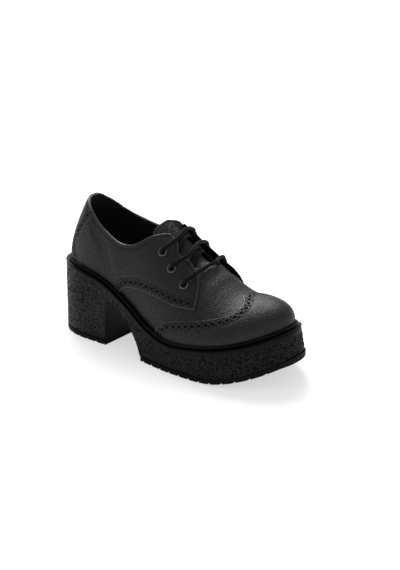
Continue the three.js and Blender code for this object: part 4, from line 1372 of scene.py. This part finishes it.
def make_eyelet_rings():
    """Rolled rings with their sleeves through the leather."""
    around = 40
    profile = [(EYELET_HOLE - 0.05, -2.4), (EYELET_HOLE - 0.05, -0.2)]
    middle, half = (EYELET_HOLE + EYELET_RIM) / 2, (EYELET_RIM - EYELET_HOLE) / 2
    for angle in np.linspace(math.pi, 0, 9):
        profile.append((middle + half * math.cos(angle), 0.15 + 0.85 * math.sin(angle)))
    profile += [(EYELET_RIM - 0.3, -0.05), (EYELET_HOLE + 0.3, -0.05), (EYELET_HOLE + 0.3, -2.4)]
    cos, sin = circle(around)
    for row in range(len(EYELETS)):
        for side, word in ((-1, "outer"), (1, "inner")):
            point, normal, inward = eyelet_seat(row, side)
            other = np.cross(normal, inward)
            rings = [point + normal * (up + GAP) + radius * (cos * inward + sin * other)
                     for radius, up in profile]
            faces = strip_faces(len(rings), around, True)[:, ::-1]
            add_piece(f"eyelet_ring_{word}_{row + 1}", np.vstack(rings), faces, ["enamel"],
                      [f"eyelet_{word}_{row + 1}"])


# Stage

TARGET = Vector((-0.00571, 0.04091, 0.050))
AZIMUTH, ELEVATION, ROLL = math.radians(36.21), math.radians(19.99), math.radians(0.3)
DISTANCE, FOCAL_PIXELS, FRAME_PIXELS, SENSOR = 0.97162, 1015.34, 400, 36.0
# Half the side of the floor in metres
FLOOR = 9


def make_camera():
    """Camera at the photograph's viewing angle."""
    back = Vector((math.sin(AZIMUTH) * math.cos(ELEVATION), -math.cos(AZIMUTH)
                   * math.cos(ELEVATION), math.sin(ELEVATION)))
    right = Vector((math.cos(AZIMUTH), math.sin(AZIMUTH), 0))
    up = back.cross(right)
    right, up = (right * math.cos(ROLL) + up * math.sin(ROLL),
                 up * math.cos(ROLL) - right * math.sin(ROLL))
    data = bpy.data.cameras.new("Camera")
    data.sensor_fit = "HORIZONTAL"
    data.sensor_width = SENSOR
    data.lens = FOCAL_PIXELS * SENSOR / FRAME_PIXELS
    data.clip_start, data.clip_end = 0.01, 100
    camera = bpy.data.objects.new("Camera", data)
    place = TARGET + back * DISTANCE
    camera.matrix_world = Matrix((
        (right.x, up.x, back.x, place.x), (right.y, up.y, back.y, place.y),
        (right.z, up.z, back.z, place.z), (0, 0, 0, 1)))
    bpy.context.scene.collection.objects.link(camera)
    bpy.context.scene.camera = camera


def add_light(name, place, aim, size, power):
    """A soft square light."""
    data = bpy.data.lights.new(name, "AREA")
    data.shape, data.size, data.energy = "SQUARE", size, power
    light = bpy.data.objects.new(name, data)
    light.location = place
    light.rotation_euler = (Vector(place) - Vector(aim)).to_track_quat("Z", "Y").to_euler()
    bpy.context.scene.collection.objects.link(light)


# Settings

class ShoeLeather(bpy.types.PropertyGroup):
    """Leather, lining and thread."""
    colour: FloatVectorProperty(name="Leather", description="Colour of the leather",
                                subtype="COLOR", default=(0.0120, 0.0128, 0.0122), min=0, max=1)
    lining: FloatVectorProperty(name="Lining", description="Colour of the lining",
                                subtype="COLOR", default=(0.006, 0.006, 0.006), min=0, max=1)
    thread: FloatVectorProperty(name="Thread", description="Colour of the sewing thread",
                                subtype="COLOR", default=(0.007, 0.007, 0.007), min=0, max=1)
    roughness: FloatProperty(name="Roughness", description="Gloss of the leather, 0 is a mirror",
                             subtype="FACTOR", default=0.46, min=0, max=1)
    pebble: FloatProperty(name="Pebble size", description="Width of one pebble of the grain",
                          unit="LENGTH", default=0.0014, min=0.0003, max=0.01)
    relief: FloatProperty(name="Grain depth", description="Depth of the grain",
                          unit="LENGTH", default=0.00042, min=0, max=0.002)


class ShoeSole(bpy.types.PropertyGroup):
    """Sole unit and tread."""
    colour: FloatVectorProperty(name="Rubber", description="Colour of the sole unit",
                                subtype="COLOR", default=(0.0030, 0.0030, 0.0030), min=0, max=1)
    lump: FloatProperty(name="Lump size", description="Width of one lump of the crepe grain",
                        unit="LENGTH", default=0.0019, min=0.0005, max=0.01)
    relief: FloatProperty(name="Crepe depth", description="Depth of the crepe grain",
                          unit="LENGTH", default=0.0012, min=0, max=0.003)


class ShoeTrim(bpy.types.PropertyGroup):
    """Lace and eyelets."""
    lace: FloatVectorProperty(name="Lace", description="Colour of the lace",
                              subtype="COLOR", default=(0.005, 0.005, 0.005), min=0, max=1)
    enamel: FloatVectorProperty(name="Eyelets", description="Colour of the eyelets",
                                subtype="COLOR", default=(0.160, 0.160, 0.160), min=0, max=1)


class ShoeStage(bpy.types.PropertyGroup):
    """Floor and lights."""
    floor: FloatVectorProperty(name="Floor", description="Colour of the floor",
                               subtype="COLOR", default=(0.95, 0.95, 0.95), min=0, max=1)
    glow: FloatProperty(name="Floor glow", description="Light given off by the floor",
                        default=0.58, min=0)
    key: FloatProperty(name="Key light", description="Power of the light behind on the left",
                       unit="POWER", default=20.0, min=0)
    fill: FloatProperty(name="Fill light", description="Power of the light on the right",
                        unit="POWER", default=1.5, min=0)
    sky: FloatProperty(name="Surround", description="Strength of the pale surround",
                       default=0.26, min=0)


# Operators

class SHOE_OT_materials(bpy.types.Operator):
    """Make the materials of every piece"""
    bl_idname = "shoe.materials"
    bl_label = "Materials"

    def execute(self, context):
        leather, sole, trim = (context.scene.shoe_leather, context.scene.shoe_sole,
                               context.scene.shoe_trim)
        GROUPS["grain"], GROUPS["finish"] = pebble_group(), dust_group()
        pebbles = 1 / leather.pebble
        MATERIALS.update({
            "leather": leather_material("Pebbled leather", leather.colour, leather.roughness,
                                        pebbles, leather.relief, 0.12),
            # Lighter, glossier leather on the edges: a painted highlight where the rounded edges
            # catch the light
            "edge": leather_material("Painted edge highlight", shade(leather.colour, 4.5)[:3], 0.34, pebbles,
                                     0.2 * leather.relief, 0.5),
            "lining": leather_material("Lining", leather.lining, 0.75, 1.4 * pebbles,
                                       0.4 * leather.relief),
            # Near-black leather inside the brogue holes: painted shade in the holes
            "pit": leather_material("Painted hole shade", shade(leather.lining, 0.35)[:3], 0.9, pebbles,
                                    0.2 * leather.relief),
            "thread": braid_material("Thread", leather.thread),
            "crepe": rubber_material("Crepe rubber", sole.colour, 0.5, 1 / sole.lump, sole.relief,
                                     0.35),
            "smooth_rubber": rubber_material("Smooth rubber", sole.colour, 0.4, 2500.0, 0.00003),
            "tread": rubber_material("Tread rubber", sole.colour, 0.6, 1800.0, 0.00005),
            "lace": braid_material("Waxed lace", trim.lace),
            "enamel": enamel_material("Eyelet enamel", trim.enamel),
        })
        return {"FINISHED"}


class SHOE_OT_upper(bpy.types.Operator):
    """Make the hollow upper with its lining"""
    bl_idname = "shoe.upper"
    bl_label = "Upper"

    def execute(self, context):
        SHEETS["last"] = last_sheet()
        make_upper_shell()
        return {"FINISHED"}


class SHOE_OT_toe_cap(bpy.types.Operator):
    """Make the wing toe cap"""
    bl_idname = "shoe.toe_cap"
    bl_label = "Toe cap"

    def execute(self, context):
        line = side_curve(WING_EDGE)
        region = np.vstack([line, [(line[-1][0], FAR), (FAR, FAR), (FAR, -FAR),
                                   (line[0][0], -FAR)]])
        runs = make_panel("toe_cap_leather", "toe_cap", [within(region)], GAP + OVERLAY, GAP,
                          [(0, SEAM_INSET), (0, 8.3)], 4.8)
        stitches("stitches_toe_cap", runs)
        return {"FINISHED"}


class SHOE_OT_counter(bpy.types.Operator):
    """Make the heel counter"""
    bl_idname = "shoe.counter"
    bl_label = "Heel counter"

    def execute(self, context):
        region = np.vstack([[(-FAR, 0)], COUNTER_LINE, [(COUNTER_LINE[-1][0], FAR), (-FAR, FAR)]])
        runs = make_panel("counter_leather", "heel_counter", [within(region), under_collar],
                          GAP + COUNTER, GAP, [(0, SEAM_INSET), (0, 8.0)], 4.7)
        stitches("stitches_counter", runs)
        return {"FINISHED"}


class SHOE_OT_quarters(bpy.types.Operator):
    """Make both quarters with their facings"""
    bl_idname = "shoe.quarters"
    bl_label = "Quarters"

    def execute(self, context):
        rear, lower = (COUNTER_LINE + [2 * GAP, 0])[::-1], side_curve(QUARTER_EDGE)
        strip = np.vstack([rear, [(rear[-1][0], -FAR), (FAR, -FAR), (FAR, FAR),
                                  (rear[0][0], FAR)]])
        above = np.vstack([[(-FAR, FAR), (-FAR, lower[0][1])], lower, [(lower[-1][0], FAR)]])
        edges = [within(above), within(strip), under_collar, out_of(FACING_GAP, PLAN_VIEW)]
        for side, word in ((-1, "outer"), (1, "inner")):
            runs = make_panel(
                f"quarter_leather_{word}", f"quarter_{word}", edges, quarter_top,
                lambda at, wrap, side: GAP + flap_lift(at, wrap, side),
                [(0, SEAM_INSET), (0, 9.4), (2, 3.4), (3, 3.0)], 5.4, eyelets=True, one_side=side)
            stitches(f"stitches_quarter_{word}", runs)
        return {"FINISHED"}


class SHOE_OT_tongue(bpy.types.Operator):
    """Make the tongue"""
    bl_idname = "shoe.tongue"
    bl_label = "Tongue"

    def execute(self, context):
        make_tongue_piece()
        return {"FINISHED"}


class SHOE_OT_insole(bpy.types.Operator):
    """Make the footbed"""
    bl_idname = "shoe.insole"
    bl_label = "Insole"

    def execute(self, context):
        make_insole_piece()
        return {"FINISHED"}


class SHOE_OT_sole(bpy.types.Operator):
    """Make the sole unit and the welt"""
    bl_idname = "shoe.sole"
    bl_label = "Sole and welt"

    def execute(self, context):
        make_sole_wall()
        make_welt_piece()
        return {"FINISHED"}


class SHOE_OT_treads(bpy.types.Operator):
    """Make the treads of heel and forefoot"""
    bl_idname = "shoe.treads"
    bl_label = "Treads"

    def execute(self, context):
        gap = arch_outline()
        make_tread("heel_tread_band", "heel_tread", -FAR, BLOCK_END)
        make_tread("forefoot_tread_band", "forefoot_tread", gap[-1][0], FAR)
        return {"FINISHED"}


class SHOE_OT_eyelets(bpy.types.Operator):
    """Make the eyelets"""
    bl_idname = "shoe.eyelets"
    bl_label = "Eyelets"

    def execute(self, context):
        make_eyelet_rings()
        return {"FINISHED"}


class SHOE_OT_lace(bpy.types.Operator):
    """Make the lace"""
    bl_idname = "shoe.lace"
    bl_label = "Lace"

    def execute(self, context):
        make_lace_pieces()
        return {"FINISHED"}


class SHOE_OT_stage(bpy.types.Operator):
    """Make the floor, the lights and the camera"""
    bl_idname = "shoe.stage"
    bl_label = "Stage"

    def execute(self, context):
        stage = context.scene.shoe_stage
        mesh = bpy.data.meshes.new("Floor")
        corners = [(-FLOOR, -FLOOR, 0), (FLOOR, -FLOOR, 0), (FLOOR, FLOOR, 0), (-FLOOR, FLOOR, 0)]
        mesh.from_pydata(corners, [], [(0, 1, 2, 3)])
        mesh.materials.append(floor_material(stage.floor, stage.glow))
        floor = bpy.data.objects.new("Floor", mesh)
        context.scene.collection.objects.link(floor)
        aim = (0.0, 0.0, 0.06)
        add_light("Key", (-0.75, 0.75, 1.25), aim, 1.0, stage.key)
        add_light("Fill", (1.3, -0.6, 0.9), aim, 1.1, stage.fill)
        world = bpy.data.worlds.new("Surround")
        world.use_nodes = True
        t = Tree(world.node_tree)
        sky = world.node_tree.nodes["Background"]
        sky.inputs["Color"].default_value = (1.0, 1.0, 1.0, 1.0)
        seen = t.add("ShaderNodeLightPath").outputs["Is Camera Ray"]
        t.tree.links.new(t.ramp(seen, 0, 1, stage.sky, 1.0), sky.inputs["Strength"])
        context.scene.world = world
        context.scene.view_settings.view_transform = "Standard"
        make_camera()
        return {"FINISHED"}


SETTINGS = {"shoe_leather": ShoeLeather, "shoe_sole": ShoeSole, "shoe_trim": ShoeTrim,
            "shoe_stage": ShoeStage}
STEPS = (SHOE_OT_stage, SHOE_OT_materials, SHOE_OT_upper, SHOE_OT_toe_cap, SHOE_OT_counter,
         SHOE_OT_quarters, SHOE_OT_tongue, SHOE_OT_insole, SHOE_OT_sole, SHOE_OT_treads,
         SHOE_OT_eyelets, SHOE_OT_lace)


class SHOE_PT_panel(bpy.types.Panel):
    """Settings and steps of the shoe"""
    bl_label = "Block heel shoe"
    bl_idname = "SHOE_PT_panel"
    bl_space_type = "VIEW_3D"
    bl_region_type = "UI"
    bl_category = "Shoe"

    def draw(self, context):
        for group in SETTINGS:
            settings = getattr(context.scene, group)
            box = self.layout.box()
            for name in settings.bl_rna.properties.keys():
                if name not in {"rna_type", "name"}:
                    box.prop(settings, name)
        for step in STEPS:
            self.layout.operator(step.bl_idname)


CLASSES = (*SETTINGS.values(), *STEPS, SHOE_PT_panel)


def register():
    """Add the classes and the settings."""
    for cls in CLASSES:
        bpy.utils.register_class(cls)
    for name, group in SETTINGS.items():
        setattr(bpy.types.Scene, name, PointerProperty(type=group))


def unregister():
    """Take the settings and the classes away."""
    for name in SETTINGS:
        delattr(bpy.types.Scene, name)
    for cls in reversed(CLASSES):
        bpy.utils.unregister_class(cls)


def main():
    """Build the whole shoe and its stage."""
    register()
    bpy.ops.shoe.stage()
    bpy.ops.shoe.materials()
    bpy.ops.shoe.upper()
    bpy.ops.shoe.toe_cap()
    bpy.ops.shoe.counter()
    bpy.ops.shoe.quarters()
    bpy.ops.shoe.tongue()
    bpy.ops.shoe.insole()
    bpy.ops.shoe.sole()
    bpy.ops.shoe.treads()
    bpy.ops.shoe.eyelets()
    bpy.ops.shoe.lace()


if __name__ == "__main__":
    main()
